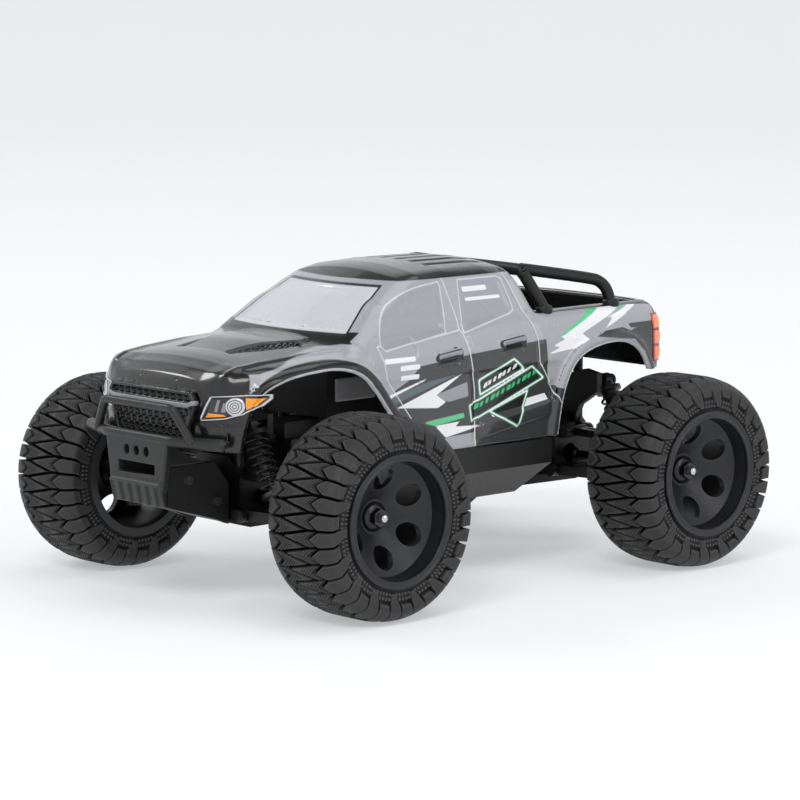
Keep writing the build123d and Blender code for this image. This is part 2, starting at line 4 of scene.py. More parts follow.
import bpy
import numpy as np
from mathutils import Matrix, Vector


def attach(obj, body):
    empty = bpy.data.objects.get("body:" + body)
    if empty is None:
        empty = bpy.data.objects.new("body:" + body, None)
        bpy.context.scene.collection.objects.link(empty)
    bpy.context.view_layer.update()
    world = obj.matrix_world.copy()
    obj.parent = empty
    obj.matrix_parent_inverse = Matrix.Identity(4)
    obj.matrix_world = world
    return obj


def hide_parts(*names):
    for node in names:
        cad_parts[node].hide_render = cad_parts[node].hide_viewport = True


# Visual model of a radio-controlled monster truck. Lengths below are in millimetres in the
# part's frame (+Z up, the truck faces -Y, its left is +X); meshes are scaled to metres.

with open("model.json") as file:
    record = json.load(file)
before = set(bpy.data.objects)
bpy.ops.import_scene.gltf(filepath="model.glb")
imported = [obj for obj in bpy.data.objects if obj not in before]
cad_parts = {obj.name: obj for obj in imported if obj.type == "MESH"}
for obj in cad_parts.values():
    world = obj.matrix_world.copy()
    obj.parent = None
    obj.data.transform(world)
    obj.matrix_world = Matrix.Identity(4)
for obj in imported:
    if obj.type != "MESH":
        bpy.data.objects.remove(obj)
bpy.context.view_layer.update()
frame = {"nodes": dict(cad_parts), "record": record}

MM = 0.001
TYRE_R = 30.5
TYRE_HALF = 14.0
WHEEL_X = 61.0
TIP_Y = -101.5
# corner name, +1 for left or -1 for right, and the axle's y
CORNERS = [(end + "_" + side, flip, y) for end, y in (("front", -61.0), ("rear", 71.0))
           for side, flip in (("left", 1.0), ("right", -1.0))]


# --- camera, stage and light ---
def faces_between(rings, count):
    """Quads that join each ring of count points to the next ring."""
    faces = []
    for start in range(0, (rings - 1) * count, count):
        for index in range(count):
            after = (index + 1) % count
            faces.append((start + index, start + after, start + count + after, start + count + index))
    return faces


def add_camera():
    data = bpy.data.cameras.new("camera")
    data.lens = 162.9
    data.sensor_width = 36.0
    data.clip_end = 20.0
    camera = bpy.data.objects.new("camera", data)
    bpy.context.scene.collection.objects.link(camera)
    eye = Vector((841.94, -762.56, 209.63)) * MM
    target = Vector((27.33, -18.48, 57.58)) * MM
    camera.location = eye
    camera.rotation_euler = (target - eye).to_track_quat("-Z", "Y").to_euler()
    bpy.context.scene.camera = camera


def add_light(name, place, target, size, power, tint=(1.0, 1.0, 1.0)):
    data = bpy.data.lights.new(name, "AREA")
    data.shape = "RECTANGLE"
    data.size = size[0]
    data.size_y = size[1]
    data.energy = power
    data.color = tint
    lamp = bpy.data.objects.new(name, data)
    bpy.context.scene.collection.objects.link(lamp)
    lamp.location = place
    lamp.rotation_euler = (Vector(target) - Vector(place)).to_track_quat("-Z", "Y").to_euler()


def add_stage():
    """A pale floor that curves up into a backdrop all round, as one open sheet."""
    points = []
    rings = [(0.0, 0.0), (0.6, 0.0), (1.4, 0.0), (2.4, 0.0), (2.9, 0.08), (3.25, 0.35), (3.35, 0.8),
             (3.35, 3.2)]
    count = 96
    for radius, height in rings:
        for index in range(count):
            angle = 2 * math.pi * index / count
            points.append((radius * math.cos(angle), radius * math.sin(angle), height))
    mesh = bpy.data.meshes.new("studio_floor")
    mesh.from_pydata(points, [], faces_between(len(rings), count))
    mesh.polygons.foreach_set("use_smooth", [True] * len(mesh.polygons))
    floor = bpy.data.objects.new("studio_floor", mesh)
    bpy.context.scene.collection.objects.link(floor)
    paper, _, glow = new_material("studio_paper")
    glow.inputs["Base Color"].default_value = (0.62, 0.62, 0.625, 1.0)
    glow.inputs["Roughness"].default_value = 0.8
    glow.inputs["Specular IOR Level"].default_value = 0.1
    glow.inputs["Emission Color"].default_value = (0.94, 0.95, 0.96, 1.0)
    glow.inputs["Emission Strength"].default_value = 0.40
    mesh.materials.append(paper)


def set_world():
    world = bpy.data.worlds.new("studio_world")
    world.use_nodes = True
    background = world.node_tree.nodes["Background"]
    background.inputs["Color"].default_value = (0.93, 0.95, 1.0, 1.0)
    background.inputs["Strength"].default_value = 0.22
    bpy.context.scene.world = world
    bpy.context.scene.view_settings.view_transform = "Standard"


# --- material helpers ---
def new_material(name):
    """A material with its node tree and its shader."""
    material = bpy.data.materials.new(name)
    material.use_nodes = True
    tree = material.node_tree
    return material, tree, tree.nodes["Principled BSDF"]


def object_noise(tree, scale, detail=3.0):
    coords = tree.nodes.new("ShaderNodeTexCoord")
    noise = tree.nodes.new("ShaderNodeTexNoise")
    noise.inputs["Scale"].default_value = scale
    noise.inputs["Detail"].default_value = detail
    tree.links.new(coords.outputs["Object"], noise.inputs["Vector"])
    return noise.outputs["Fac"]


def point_value(tree, name):
    """A per-point value stored on the mesh."""
    source = tree.nodes.new("ShaderNodeAttribute")
    source.attribute_name = name
    return source.outputs["Fac"]


def remap(tree, source, start, stop, low=0.0, high=1.0):
    """Map start..stop of a value to low..high and hold it there."""
    node = tree.nodes.new("ShaderNodeMapRange")
    for socket, value in (("From Min", start), ("From Max", stop), ("To Min", low), ("To Max", high)):
        node.inputs[socket].default_value = value
    tree.links.new(source, node.inputs["Value"])
    return node.outputs["Result"]


def layer(tree, below, above, mask):
    """Lay one colour over another where the mask is 1; each colour is a tuple or a socket."""
    mix = tree.nodes.new("ShaderNodeMix")
    mix.data_type = "RGBA"
    tree.links.new(mask, mix.inputs["Factor"])
    for socket, colour in (("A", below), ("B", above)):
        if isinstance(colour, tuple):
            mix.inputs[socket].default_value = (*colour, 1.0)
        else:
            tree.links.new(colour, mix.inputs[socket])
    return mix.outputs["Result"]


def edge_wear(tree, start, stop, most):
    """0 on flat ground, rising to most on sharp edges."""
    geometry = tree.nodes.new("ShaderNodeNewGeometry")
    return remap(tree, geometry.outputs["Pointiness"], start, stop, 0.0, most)


def add_bump(tree, shader, source, strength, distance):
    lift = tree.nodes.new("ShaderNodeBump")
    lift.inputs["Strength"].default_value = strength
    lift.inputs["Distance"].default_value = distance
    tree.links.new(source, lift.inputs["Height"])
    tree.links.new(lift.outputs["Normal"], shader.inputs["Normal"])


def spread(tree, source, low, high):
    """Map the middle of a noise's range to low..high."""
    return remap(tree, source, 0.3, 0.7, low, high)


def glazed(name, scale, detail, low, high):
    """A material whose base drifts between two colours: its parts, its noise and that colour."""
    material, tree, shader = new_material(name)
    haze = object_noise(tree, scale, detail)
    return material, tree, shader, haze, layer(tree, low, high, haze)


def finish_glaze(tree, shader, colour, haze, rough, coat=0.0):
    """Join the last colour and a drifting roughness to the shader."""
    tree.links.new(colour, shader.inputs["Base Color"])
    tree.links.new(spread(tree, haze, *rough), shader.inputs["Roughness"])
    shader.inputs["Coat Weight"].default_value = coat


GRAIN_SCALE = 2600.0
COLOUR_SWING = 0.25


def grained(name, colour, roughness, metallic=0.0):
    """A moulded or metal finish with fine grain, slight colour drift and edge wear."""
    material, tree, shader = new_material(name)
    shader.inputs["Metallic"].default_value = metallic
    shader.inputs["Specular IOR Level"].default_value = 0.4
    fine = object_noise(tree, GRAIN_SCALE)
    wide = object_noise(tree, GRAIN_SCALE / 30.0)
    dark = tuple(c * (1 - COLOUR_SWING) for c in colour)
    light = tuple(min(1.0, c * (1 + COLOUR_SWING)) for c in colour)
    worn = tuple(min(1.0, c * 1.7 + 0.015) for c in colour)
    base = layer(tree, dark, light, wide)
    base = layer(tree, base, worn, edge_wear(tree, 0.52, 0.62, 0.5))
    tree.links.new(base, shader.inputs["Base Color"])
    tree.links.new(spread(tree, fine, roughness * 0.85, min(1.0, roughness * 1.15)),
              shader.inputs["Roughness"])
    add_bump(tree, shader, fine, 0.3, 0.00008)
    return material


# --- mesh helpers ---
def add_piece(mesh, body, material, replaces=()):
    """Link a finished mesh as a smooth piece that rides on a body."""
    mesh.polygons.foreach_set("use_smooth", [True] * len(mesh.polygons))
    mesh.materials.append(material)
    piece = bpy.data.objects.new(mesh.name, mesh)
    bpy.context.scene.collection.objects.link(piece)
    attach(piece, body)
    if replaces:
        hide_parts(*replaces)
    return piece


def add_mesh(name, points, faces, body, material, replaces=()):
    """A small mesh from lists, in millimetres."""
    mesh = bpy.data.meshes.new(name)
    mesh.from_pydata([tuple(c * MM for c in p) for p in points], [], faces)
    mesh.validate()
    return add_piece(mesh, body, material, replaces)


def ring_mesh(points, rows, columns, flip=False):
    """Quads over a rows x columns array of points that closes on itself both ways."""
    index = np.arange(rows * columns).reshape(rows, columns)
    index = np.vstack([index, index[:1]])
    index = np.hstack([index, index[:, :1]])
    quads = np.stack([index[:-1, :-1], index[:-1, 1:], index[1:, 1:], index[1:, :-1]], axis=-1)
    quads = quads.reshape(-1, 4)
    if flip:
        quads = quads[:, ::-1]
    return points.reshape(-1, 3), quads


def add_array_mesh(name, points, quads, body, material, replaces=()):
    """A large quad mesh from numpy arrays, in millimetres."""
    mesh = bpy.data.meshes.new(name)
    mesh.vertices.add(len(points))
    mesh.vertices.foreach_set("co", (points * MM).astype(np.float32).ravel())
    mesh.loops.add(quads.size)
    mesh.loops.foreach_set("vertex_index", quads.astype(np.int32).ravel())
    mesh.polygons.add(len(quads))
    mesh.polygons.foreach_set("loop_start", np.arange(0, quads.size, 4, dtype=np.int32))
    mesh.polygons.foreach_set("loop_total", np.full(len(quads), 4, dtype=np.int32))
    mesh.update(calc_edges=True)
    return add_piece(mesh, body, material, replaces)


# --- fields: negative inside, millimetres ---
def smooth_min(a, b, k):
    h = np.maximum(k - np.abs(a - b), 0.0) / k
    return np.minimum(a, b) - h * h * k * 0.25


def smooth_max(a, b, k):
    return -smooth_min(-a, -b, k)


def smoothstep(low, high, value):
    t = np.clip((value - low) / (high - low), 0.0, 1.0)
    return t * t * (3.0 - 2.0 * t)


def polygon_distance(a, b, points):
    """Signed distance from (a, b) to a closed outline, negative inside."""
    shape = np.broadcast(a, b).shape
    best = np.full(shape, 1e9)
    inside = np.zeros(shape, dtype=bool)
    count = len(points)
    for index in range(count):
        ax, ay = points[index]
        bx, by = points[(index + 1) % count]
        ex, ey = bx - ax, by - ay
        wx, wy = a - ax, b - ay
        along = np.clip((wx * ex + wy * ey) / (ex * ex + ey * ey), 0.0, 1.0)
        dx, dy = wx - along * ex, wy - along * ey
        best = np.minimum(best, dx * dx + dy * dy)
        crosses = (ay > b) != (by > b)
        if ey != 0:
            inside ^= crosses & (a < ax + (b - ay) * ex / ey)
    return np.where(inside, -np.sqrt(best), np.sqrt(best))


def line_distance(a, b, points):
    """Distance from (a, b) to an open run of straight lines."""
    best = np.full(np.broadcast(a, b).shape, 1e9)
    for (ax, ay), (bx, by) in zip(points[:-1], points[1:]):
        ex, ey = bx - ax, by - ay
        along = np.clip(((a - ax) * ex + (b - ay) * ey) / (ex * ex + ey * ey), 0.0, 1.0)
        best = np.minimum(best, (a - ax - along * ex) ** 2 + (b - ay - along * ey) ** 2)
    return np.sqrt(best)


def curve_through(points, steps=8):
    """A smooth run of points through the given ones."""
    out = []
    padded = [points[0]] + list(points) + [points[-1]]
    for index in range(1, len(padded) - 2):
        p0, p1, p2, p3 = [np.array(padded[index + offset], float) for offset in (-1, 0, 1, 2)]
        for step in range(steps):
            t = step / steps
            point = 0.5 * (2 * p1 + (p2 - p0) * t + (2 * p0 - 5 * p1 + 4 * p2 - p3) * t * t
                           + (3 * p1 - p0 - 3 * p2 + p3) * t ** 3)
            out.append(tuple(point))
    out.append(tuple(points[-1]))
    return out


def surface_net(field, low, step):
    """Quads on the zero level of a sampled field."""
    inside = field < 0
    shape = np.array(field.shape) - 1
    corners = [(i, j, k) for i in (0, 1) for j in (0, 1) for k in (0, 1)]
    total = np.zeros(shape, np.uint8)
    for i, j, k in corners:
        total += inside[i:i + shape[0], j:j + shape[1], k:k + shape[2]]
    cells = np.argwhere((total > 0) & (total < 8))
    number = np.full(shape, -1, np.int64)
    number[cells[:, 0], cells[:, 1], cells[:, 2]] = np.arange(len(cells))
    sums = np.zeros((len(cells), 3))
    hits = np.zeros(len(cells))
    for start in corners:
        for axis in range(3):
            if start[axis]:
                continue
            end = list(start)
            end[axis] = 1
            a = field[tuple((cells + start).T)]
            b = field[tuple((cells + end).T)]
            crossed = (a < 0) != (b < 0)
            share = np.where(crossed, a / np.where(crossed, a - b, 1.0), 0.0)
            point = np.array(start, float) + share[:, None] * np.eye(3)[axis]
            sums += point * crossed[:, None]
            hits += crossed
    points = (cells + sums / hits[:, None]) * step + np.array(low)
    quads = []
    for axis in range(3):
        u, v = [other for other in range(3) if other != axis]
        first = [slice(None)] * 3
        second = [slice(None)] * 3
        first[axis] = slice(0, -1)
        second[axis] = slice(1, None)
        change = inside[tuple(first)].astype(np.int8) - inside[tuple(second)].astype(np.int8)
        edges = np.argwhere(change != 0)
        keep = (edges[:, u] > 0) & (edges[:, v] > 0)
        keep &= (edges[:, u] < shape[u]) & (edges[:, v] < shape[v])
        edges = edges[keep]
        sign = change[tuple(edges.T)]
        loop = []
        for du, dv in ((1, 1), (0, 1), (0, 0), (1, 0)):
            cell = edges.copy()
            cell[:, u] -= du
            cell[:, v] -= dv
            loop.append(number[tuple(cell.T)])
        quad = np.stack(loop, axis=1)
        turn = (sign > 0) if axis != 1 else (sign < 0)
        quad[~turn] = quad[~turn][:, ::-1]
        quads.append(quad)
    return points, np.concatenate(quads)


# --- tyres ---
LUG_COUNT = 36
TYRE_PROFILE = [(-11.7, 18.4), (-12.0, 19.4), (-12.5, 20.2), (-13.0, 21.6), (-13.1, 23.2), (-12.7, 25.0),
                (-11.8, 26.4), (-10.0, 27.5), (-7.0, 28.1), (-3.5, 28.3), (0.0, 28.35)]


def tyre_profile(count):
    """(x, radius) along the carcass from the inner bead to the outer bead, evenly spaced."""
    half = curve_through(TYRE_PROFILE, 10)
    run = np.array(half + [(-x, r) for x, r in reversed(half[:-1])])
    length = np.concatenate([[0], np.cumsum(np.hypot(*np.diff(run, axis=0).T))])
    even = np.linspace(0, length[-1], count)
    return np.interp(even, length, run[:, 0]), np.interp(even, length, run[:, 1])


def wave(value):
    """Triangle wave, 0 at whole numbers and 1 half way between."""
    return 1.0 - np.abs((value % 1.0) * 2.0 - 1.0)


def tread(phase, across, radius):
    """Lug height from 0 to 1, and how much of it is a full lug rather than sidewall.

    phase counts lugs round the tyre and across runs from -1 to 1 over the crown. Two rows of
    arrowheads interlock over the crown, each with a pointed shoulder block in its notch. Every
    second shoulder block reaches down the sidewall.
    """
    turn = phase + 0.10 * np.maximum(25.6 - radius, 0.0)
    left = across < 0
    u = np.abs(turn - np.round(turn))
    share = np.clip(0.5 - across, 0.0, 1.0)
    thin = 0.20 * np.clip((24.8 - radius) / 3.0, 0.0, 1.0)
    block = smoothstep(0.055 + thin, 0.105 + thin, np.abs(u - 0.5 * share))
    notch_left = 0.50 + 0.52 * u
    notch_right = 0.76 - 0.52 * u
    inner = np.where(u < 0.5 * share, across + notch_left, notch_right - across)
    gap = smoothstep(0.028, 0.06, np.abs(inner))
    sipe = inner / 0.088
    fine = smoothstep(0.10, 0.26, np.abs(sipe - np.round(sipe)))
    fine = np.where((inner > 0.05) & (inner < 0.46), fine, 1.0)
    long = np.where(left, np.round(turn), np.floor(turn)) % 2 == 0
    reach = np.where(long, 21.2, 24.2)
    shoulder = smoothstep(reach - 0.2, reach + 0.5, radius)
    return block * gap * (0.80 + 0.20 * fine) * shoulder, shoulder


def tyre_arrays():
    """Points and quads of one tyre about its centre, and for every point a painted-light value: low in the
    grooves for painted shade, high on the sidewall squares for a painted highlight.
    """
    around = 1008
    across = 188
    x, radius = tyre_profile(across)
    dx = np.gradient(x)
    dr = np.gradient(radius)
    size = np.hypot(dx, dr)
    normal_x = -dr / size
    normal_r = dx / size
    angle = np.linspace(0, 2 * math.pi, around, endpoint=False)
    phase = LUG_COUNT * angle[:, None] / (2 * math.pi)
    span = np.clip(x / 12.4, -1, 1)[None, :] + 0.0 * phase
    lug, shoulder = tread(phase, span, radius[None, :])
    high = np.clip((radius[None, :] - 23.0) / 3.2, 0.0, 1.0)
    height = lug * (0.9 + 1.35 * high)
    # raised squares on the sidewall between the long lugs, and a plain bead ring
    wall = smoothstep(20.7, 21.0, radius) * (1 - smoothstep(23.6, 23.9, radius))
    rows = smoothstep(0.3, 0.55, wave((radius[None, :] - 20.75) / 1.5))
    squares = smoothstep(0.35, 0.6, wave(phase * 3.0)) * rows * wall[None, :]
    squares = squares * (1 - np.clip(lug * 4.0, 0.0, 1.0))
    bead = smoothstep(19.6, 19.9, radius) * (1 - smoothstep(20.2, 20.5, radius))
    height = height + 0.5 * squares + 0.3 * bead[None, :]
    px = np.clip(x[None, :] + height * normal_x[None, :], -TYRE_HALF, TYRE_HALF)
    pr = np.minimum(radius[None, :] + height * normal_r[None, :], TYRE_R)
    points = np.stack([px, pr * np.cos(angle)[:, None], pr * np.sin(angle)[:, None]], axis=-1)
    # painted light: the grooves get a low value for painted shade, and the sidewall squares add a painted
    # highlight
    painted_light = np.maximum(lug, 0.55 * (1 - high)) + 0.9 * squares
    # close the section along the rim seat
    seat = np.linspace(1, -1, 6)[1:-1] * 11.4
    inner = np.stack([np.broadcast_to(seat, (around, 4)), 18.1 * np.cos(angle)[:, None] * np.ones(4),
                      18.1 * np.sin(angle)[:, None] * np.ones(4)], axis=-1)
    points = np.concatenate([points, inner], axis=1)
    painted_light = np.concatenate([painted_light, np.full((around, 4), 0.5)], axis=1)
    points, quads = ring_mesh(points, around, across + 4, flip=True)
    return points, quads, painted_light


def rubber_material():
    """Black rubber with painted shade in the grooves, lighter on sharp edges, and a painted highlight on the
    sidewall squares.
    """
    material, tree, shader = new_material("tyre_rubber")
    fine = object_noise(tree, 1900.0, 4.0)
    wide = object_noise(tree, 60.0)
    painted_light = point_value(tree, "tread_painted_light")
    colour = layer(tree, (0.011, 0.011, 0.0115), (0.026, 0.026, 0.0265), wide)
    # painted shade: the grooves go near black where the tread is low
    colour = layer(tree, (0.0008, 0.0008, 0.0008), colour, remap(tree, painted_light, 0.15, 0.75))
    colour = layer(tree, colour, (0.062, 0.062, 0.064), edge_wear(tree, 0.49, 0.56, 0.7))
    # painted highlight: the raised sidewall squares are painted lighter
    stud_highlight = remap(tree, painted_light, 1.05, 1.4, 0.0, 0.6)
    colour = layer(tree, colour, (0.075, 0.075, 0.078), stud_highlight)
    tree.links.new(colour, shader.inputs["Base Color"])
    # specular also drops in the grooves, along with the painted shade
    tree.links.new(remap(tree, painted_light, 0.15, 0.75, 0.04, 0.36), shader.inputs["Specular IOR Level"])
    tree.links.new(spread(tree, fine, 0.42, 0.6), shader.inputs["Roughness"])
    add_bump(tree, shader, fine, 0.35, 0.0001)
    return material


def add_tyres():
    points, quads, painted_light = tyre_arrays()
    material = rubber_material()
    for name, flip, y in CORNERS:
        placed = points * np.array([flip, flip, 1.0]) + np.array([WHEEL_X * flip, y, TYRE_R])
        tyre = add_array_mesh("lug_tyre_" + name, placed, quads, "wheel_" + name, material,
                              replaces=["tyre_" + name])
        add_fields(tyre, {"tread_painted_light": painted_light})


RIM_LIP = [(73.6, 17.55), (74.5, 17.6), (74.8, 17.8), (74.9, 18.1), (74.8, 18.45), (74.62, 18.7),
           (74.62, 19.05), (74.8, 19.3), (74.92, 19.6), (74.85, 19.95), (74.55, 20.15), (73.6, 20.15)]
WASHER = [(62.55, 1.5), (62.55, 4.3), (62.8, 4.5), (63.1, 4.4), (63.5, 3.9), (63.8, 3.3), (63.9, 2.2),
          (63.9, 1.5)]


def add_wheel_trim(rim_finish, nut_finish, tip_finish):
    """A rounded rim lip, a domed washer under the nut and a bright stub end on every wheel."""
    sides = 120
    angle = np.linspace(0, 2 * math.pi, sides, endpoint=False)[:, None]
    for name, flip, y in CORNERS:
        for label, profile, slot, finish in (("rim_lip_", RIM_LIP, "rim", rim_finish),
                                             ("nut_washer_", WASHER, "dark_screw", nut_finish)):
            run = np.array(profile)
            ring = np.stack([flip * run[None, :, 0] + 0 * angle, y + run[None, :, 1] * np.cos(angle),
                             TYRE_R + run[None, :, 1] * np.sin(angle)], axis=-1)
            points, quads = ring_mesh(ring, sides, len(run), flip=flip > 0)
            add_array_mesh(label + name, points, quads, "wheel_" + name, finish)
        points, faces = tube([(flip * 65.9, y, TYRE_R), (flip * 67.3, y, TYRE_R)], 1.45, 24)
        add_mesh("stub_end_" + name, points, faces, "wheel_" + name, tip_finish)


# --- body shell ---
SKIN = 1.1
ARCH_FRONT = [(-85.9, 44.0), (-84.9, 54.5), (-81.6, 63.8), (-75.0, 68.2), (-64.0, 70.2), (-52.5, 70.5),
              (-44.6, 68.3), (-38.6, 63.2), (-33.6, 56.8), (-28.0, 50.0), (-22.0, 43.6), (-18.0, 38.0)]
ARCH_REAR = [(39.4, 36.0), (40.6, 46.0), (42.6, 55.0), (46.4, 62.6), (52.2, 67.0), (61.0, 69.3), (70.0, 69.2),
             (76.6, 66.0), (80.4, 60.4), (82.6, 54.0)]


def half_width(y):
    """Half the body's width in plan."""
    ys = [-100, -94.6, -91.5, -87.5, -82, -75, -62, -20, 40, 76, 84, 88, 92]
    xs = [12, 21.0, 26.5, 31.0, 34.6, 36.6, 37.3, 37.4, 37.4, 37.2, 36.6, 35.4, 31.5]
    return np.interp(y, ys, xs)


def hood_height(x, y):
    """Height of the bonnet and of the bed rails over the ground."""
    ys = [-98, -94.5, -92.8, -90.5, -87.5, -83, -75, -60, -42, -20, 6, 26, 60, 92]
    zs = [60, 64.0, 67.2, 70.6, 73.0, 74.6, 75.6, 76.8, 77.6, 78.2, 80.0, 81.6, 81.9, 81.7]
    middle = np.interp(y, ys, zs)
    drop = np.where(y < -20, 0.0024 * x * x, 0.0006 * x * x)
    return middle - drop


def arch_distance(y, z):
    return np.minimum(polygon_distance(y, z, curve_through(ARCH_FRONT, 5)),
                      polygon_distance(y, z, curve_through(ARCH_REAR, 5)))


def lower_knots():
    """Heights of the body's lower edge along its length."""
    ys = [-110, -56.0, -55.0, -24, 39.0, 40.0, 79.5, 80.5, 110]
    zs = [48.5, 48.5, 41.7, 41.7, 41.9, 42.0, 56.5, 59.3, 59.3]
    return ys, zs


WINDOW_FRONT = (curve_through([(-32.5, 79.5), (-27.5, 86.0), (-16.5, 91.0), (-2.0, 93.0)], 4)
                + [(-5.5, 78.0), (-32.0, 74.5), (-33.0, 76.0)])
WINDOW_REAR = [(6, 93), (23, 93), (24.5, 92), (25.5, 82.5), (23, 81.5), (1.5, 77.5), (2.5, 81.5)]
PILLAR_TRIM = [(-5.6, 91.6), (-3.2, 91.6), (1.2, 79.6), (-1.4, 79.0)]
DOOR_SPLIT = [(0.6, 78.4), (2.2, 72.0), (4.0, 60.0), (4.2, 45.0)]
DOOR_BACK = [(26.6, 94.0), (29.6, 82.5), (32.0, 74.0), (32.2, 66.0)]
DOOR_CUTS = [[(-41.5, 76.5), (-39.6, 72.0)], DOOR_SPLIT, DOOR_BACK]
DOOR_FRONT = [(-34.6, 76.0), (-33.0, 66.0), (-22.0, 52.0), (-14.0, 36.0), (4.4, 36.0)] + DOOR_SPLIT[::-1]
DOOR_FRONT += [(-12.0, 77.0)]
DOOR_REAR = DOOR_SPLIT + [(4.4, 36.0), (48.0, 36.0), (42.0, 50.0)] + DOOR_BACK[:0:-1]
DOOR_REAR += [(26.6, 94.5), (0.0, 94.5)]
HANDLES = [(-7.0, 71.2), (20.6, 73.2)]
BED_X = 28.6
BED_Y = (38.6, 84.0)
BED_FLOOR_Z = 72.0
SCREEN = [(-27.0, 79.4), (27.0, 79.4), (20.8, 92.4), (-20.8, 92.4)]
HOOD_VENTS = [[(side * x, y) for x, y in ((9.8, -73.4), (12.6, -74.0), (20.4, -52.0), (16.6, -50.6))]
              for side in (1, -1)]
SCOOP = [(-9.6, -73.6), (9.6, -73.6), (17.6, -50.0), (16.0, -45.0), (-16.0, -45.0), (-17.6, -50.0)]


def band(distance, width):
    """1 on a line and 0 beyond width."""
    return 1.0 - smoothstep(width * 0.45, width, distance)


def plane_maps(step):
    """Relief heights and the distance to the wheel arches, drawn on the side view (y, z)."""
    ys = np.arange(-100, 96, step)
    zs = np.arange(38, 102, step)
    y, z = np.meshgrid(ys, zs, indexing="ij")
    arch = arch_distance(y, z)
    side = 1.3 * (1 - smoothstep(2.6, 4.6, arch)) - 0.5 * (1 - smoothstep(0.4, 1.4, arch))
    for window in (WINDOW_FRONT, WINDOW_REAR):
        gap = polygon_distance(y, z, window)
        side = side - 0.35 * (1 - smoothstep(-2.4, -0.4, gap)) + 0.15 * band(np.abs(gap), 2.4)
    side = side + 0.2 * band(np.abs(polygon_distance(y, z, PILLAR_TRIM)), 2.2)
    for cut in DOOR_CUTS:
        side = side - 0.5 * band(line_distance(y, z, cut), 1.5)
    for hy, hz in HANDLES:
        lean = (z - hz) - 0.08 * (y - hy)
        around = np.hypot(np.maximum(np.abs(y - hy) - 4.2, 0), np.maximum(np.abs(lean) - 0.7, 0))
        cup = np.hypot(np.maximum(np.abs(y - hy) - 3.4, 0), np.maximum(np.abs(lean + 1.5) - 0.5, 0))
        side = side + 1.1 * (1 - smoothstep(0.3, 2.1, around)) - 0.8 * (1 - smoothstep(0.2, 1.8, cup))
    belt = z - np.interp(y, [-40, -15, 3, 26], [74.2, 76.6, 77.6, 80.4])
    on_doors = smoothstep(-40, -34, y) * (1 - smoothstep(24, 30, y))
    side = side - 0.35 * on_doors * (smoothstep(-0.2, 1.2, belt) - smoothstep(2.4, 3.6, belt))
    crease = z - np.interp(y, [4, 42], [46.5, 52.2])
    side = side + 0.8 * smoothstep(2, 10, y) * (1 - smoothstep(34, 40, y)) * band(np.abs(crease), 3.2)
    scallop = np.hypot((y - 37.6) / 1.6, (z - 56.2) / 3.6)
    side = side - 0.7 * (1 - smoothstep(0.75, 1.1, scallop))
    return ys, zs, side, arch


def plan_relief(x, y):
    """Relief on the bonnet and roof, seen from above."""
    width = np.abs(x)
    scoop = polygon_distance(x, y, SCOOP)
    lift = 1.25 * (1 - smoothstep(-1.6, 0.6, scoop)) * smoothstep(-76, -60, y)
    vents = np.minimum(polygon_distance(x, y, HOOD_VENTS[0]), polygon_distance(x, y, HOOD_VENTS[1]))
    lift = lift - 0.9 * (1 - smoothstep(-0.9, 0.5, vents))
    ridge = np.abs(width - np.interp(y, [-90, -45], [26.5, 29.5]))
    lift = lift + 0.55 * (1 - smoothstep(0.2, 2.4, ridge)) * (1 - smoothstep(-48, -43, y))
    dish = (1 - smoothstep(17.0, 24.0, width)) * (1 - smoothstep(-86, -78, y)) * smoothstep(-93, -89, y)
    lift = lift - 0.5 * dish
    ribs = band(np.abs(width - 3.4), 1.7) + band(np.abs(width - 9.8), 1.7) + band(np.abs(width - 16.0), 1.7)
    lift = lift - 0.5 * ribs * smoothstep(0, 4, y) * (1 - smoothstep(24, 28, y))
    return lift


GRILLE_TOP = [(-18.6, 65.4), (18.6, 65.4), (20.2, 63.0), (17.6, 61.6), (-17.6, 61.6), (-20.2, 63.0)]
GRILLE_LOW = [(-18.2, 60.2), (18.2, 60.2), (15.6, 50.6), (-15.6, 50.6)]
LAMP = [(20.4, 57.4), (23.6, 64.9), (34.5, 66.0), (37.4, 65.6), (36.2, 62.4), (33.0, 59.9), (28.0, 58.3)]


def front_relief(x, z):
    """Relief on the nose, seen from the front."""
    width = np.abs(x)
    top = polygon_distance(x, z, GRILLE_TOP)
    low = polygon_distance(x, z, GRILLE_LOW)
    lift = -1.6 * (1 - smoothstep(-0.5, 0.3, top)) - 1.9 * (1 - smoothstep(-0.5, 0.3, low))
    lift = lift + 0.45 * band(np.abs(top), 1.0)
    lamp = polygon_distance(width, z, LAMP)
    lift = lift - 0.7 * (1 - smoothstep(-0.6, 0.2, lamp)) + 0.3 * band(np.abs(lamp), 0.9)
    step = smoothstep(56.2, 57.4, z)
    return lift + 0.9 * (1 - step) * smoothstep(16, 20, width)


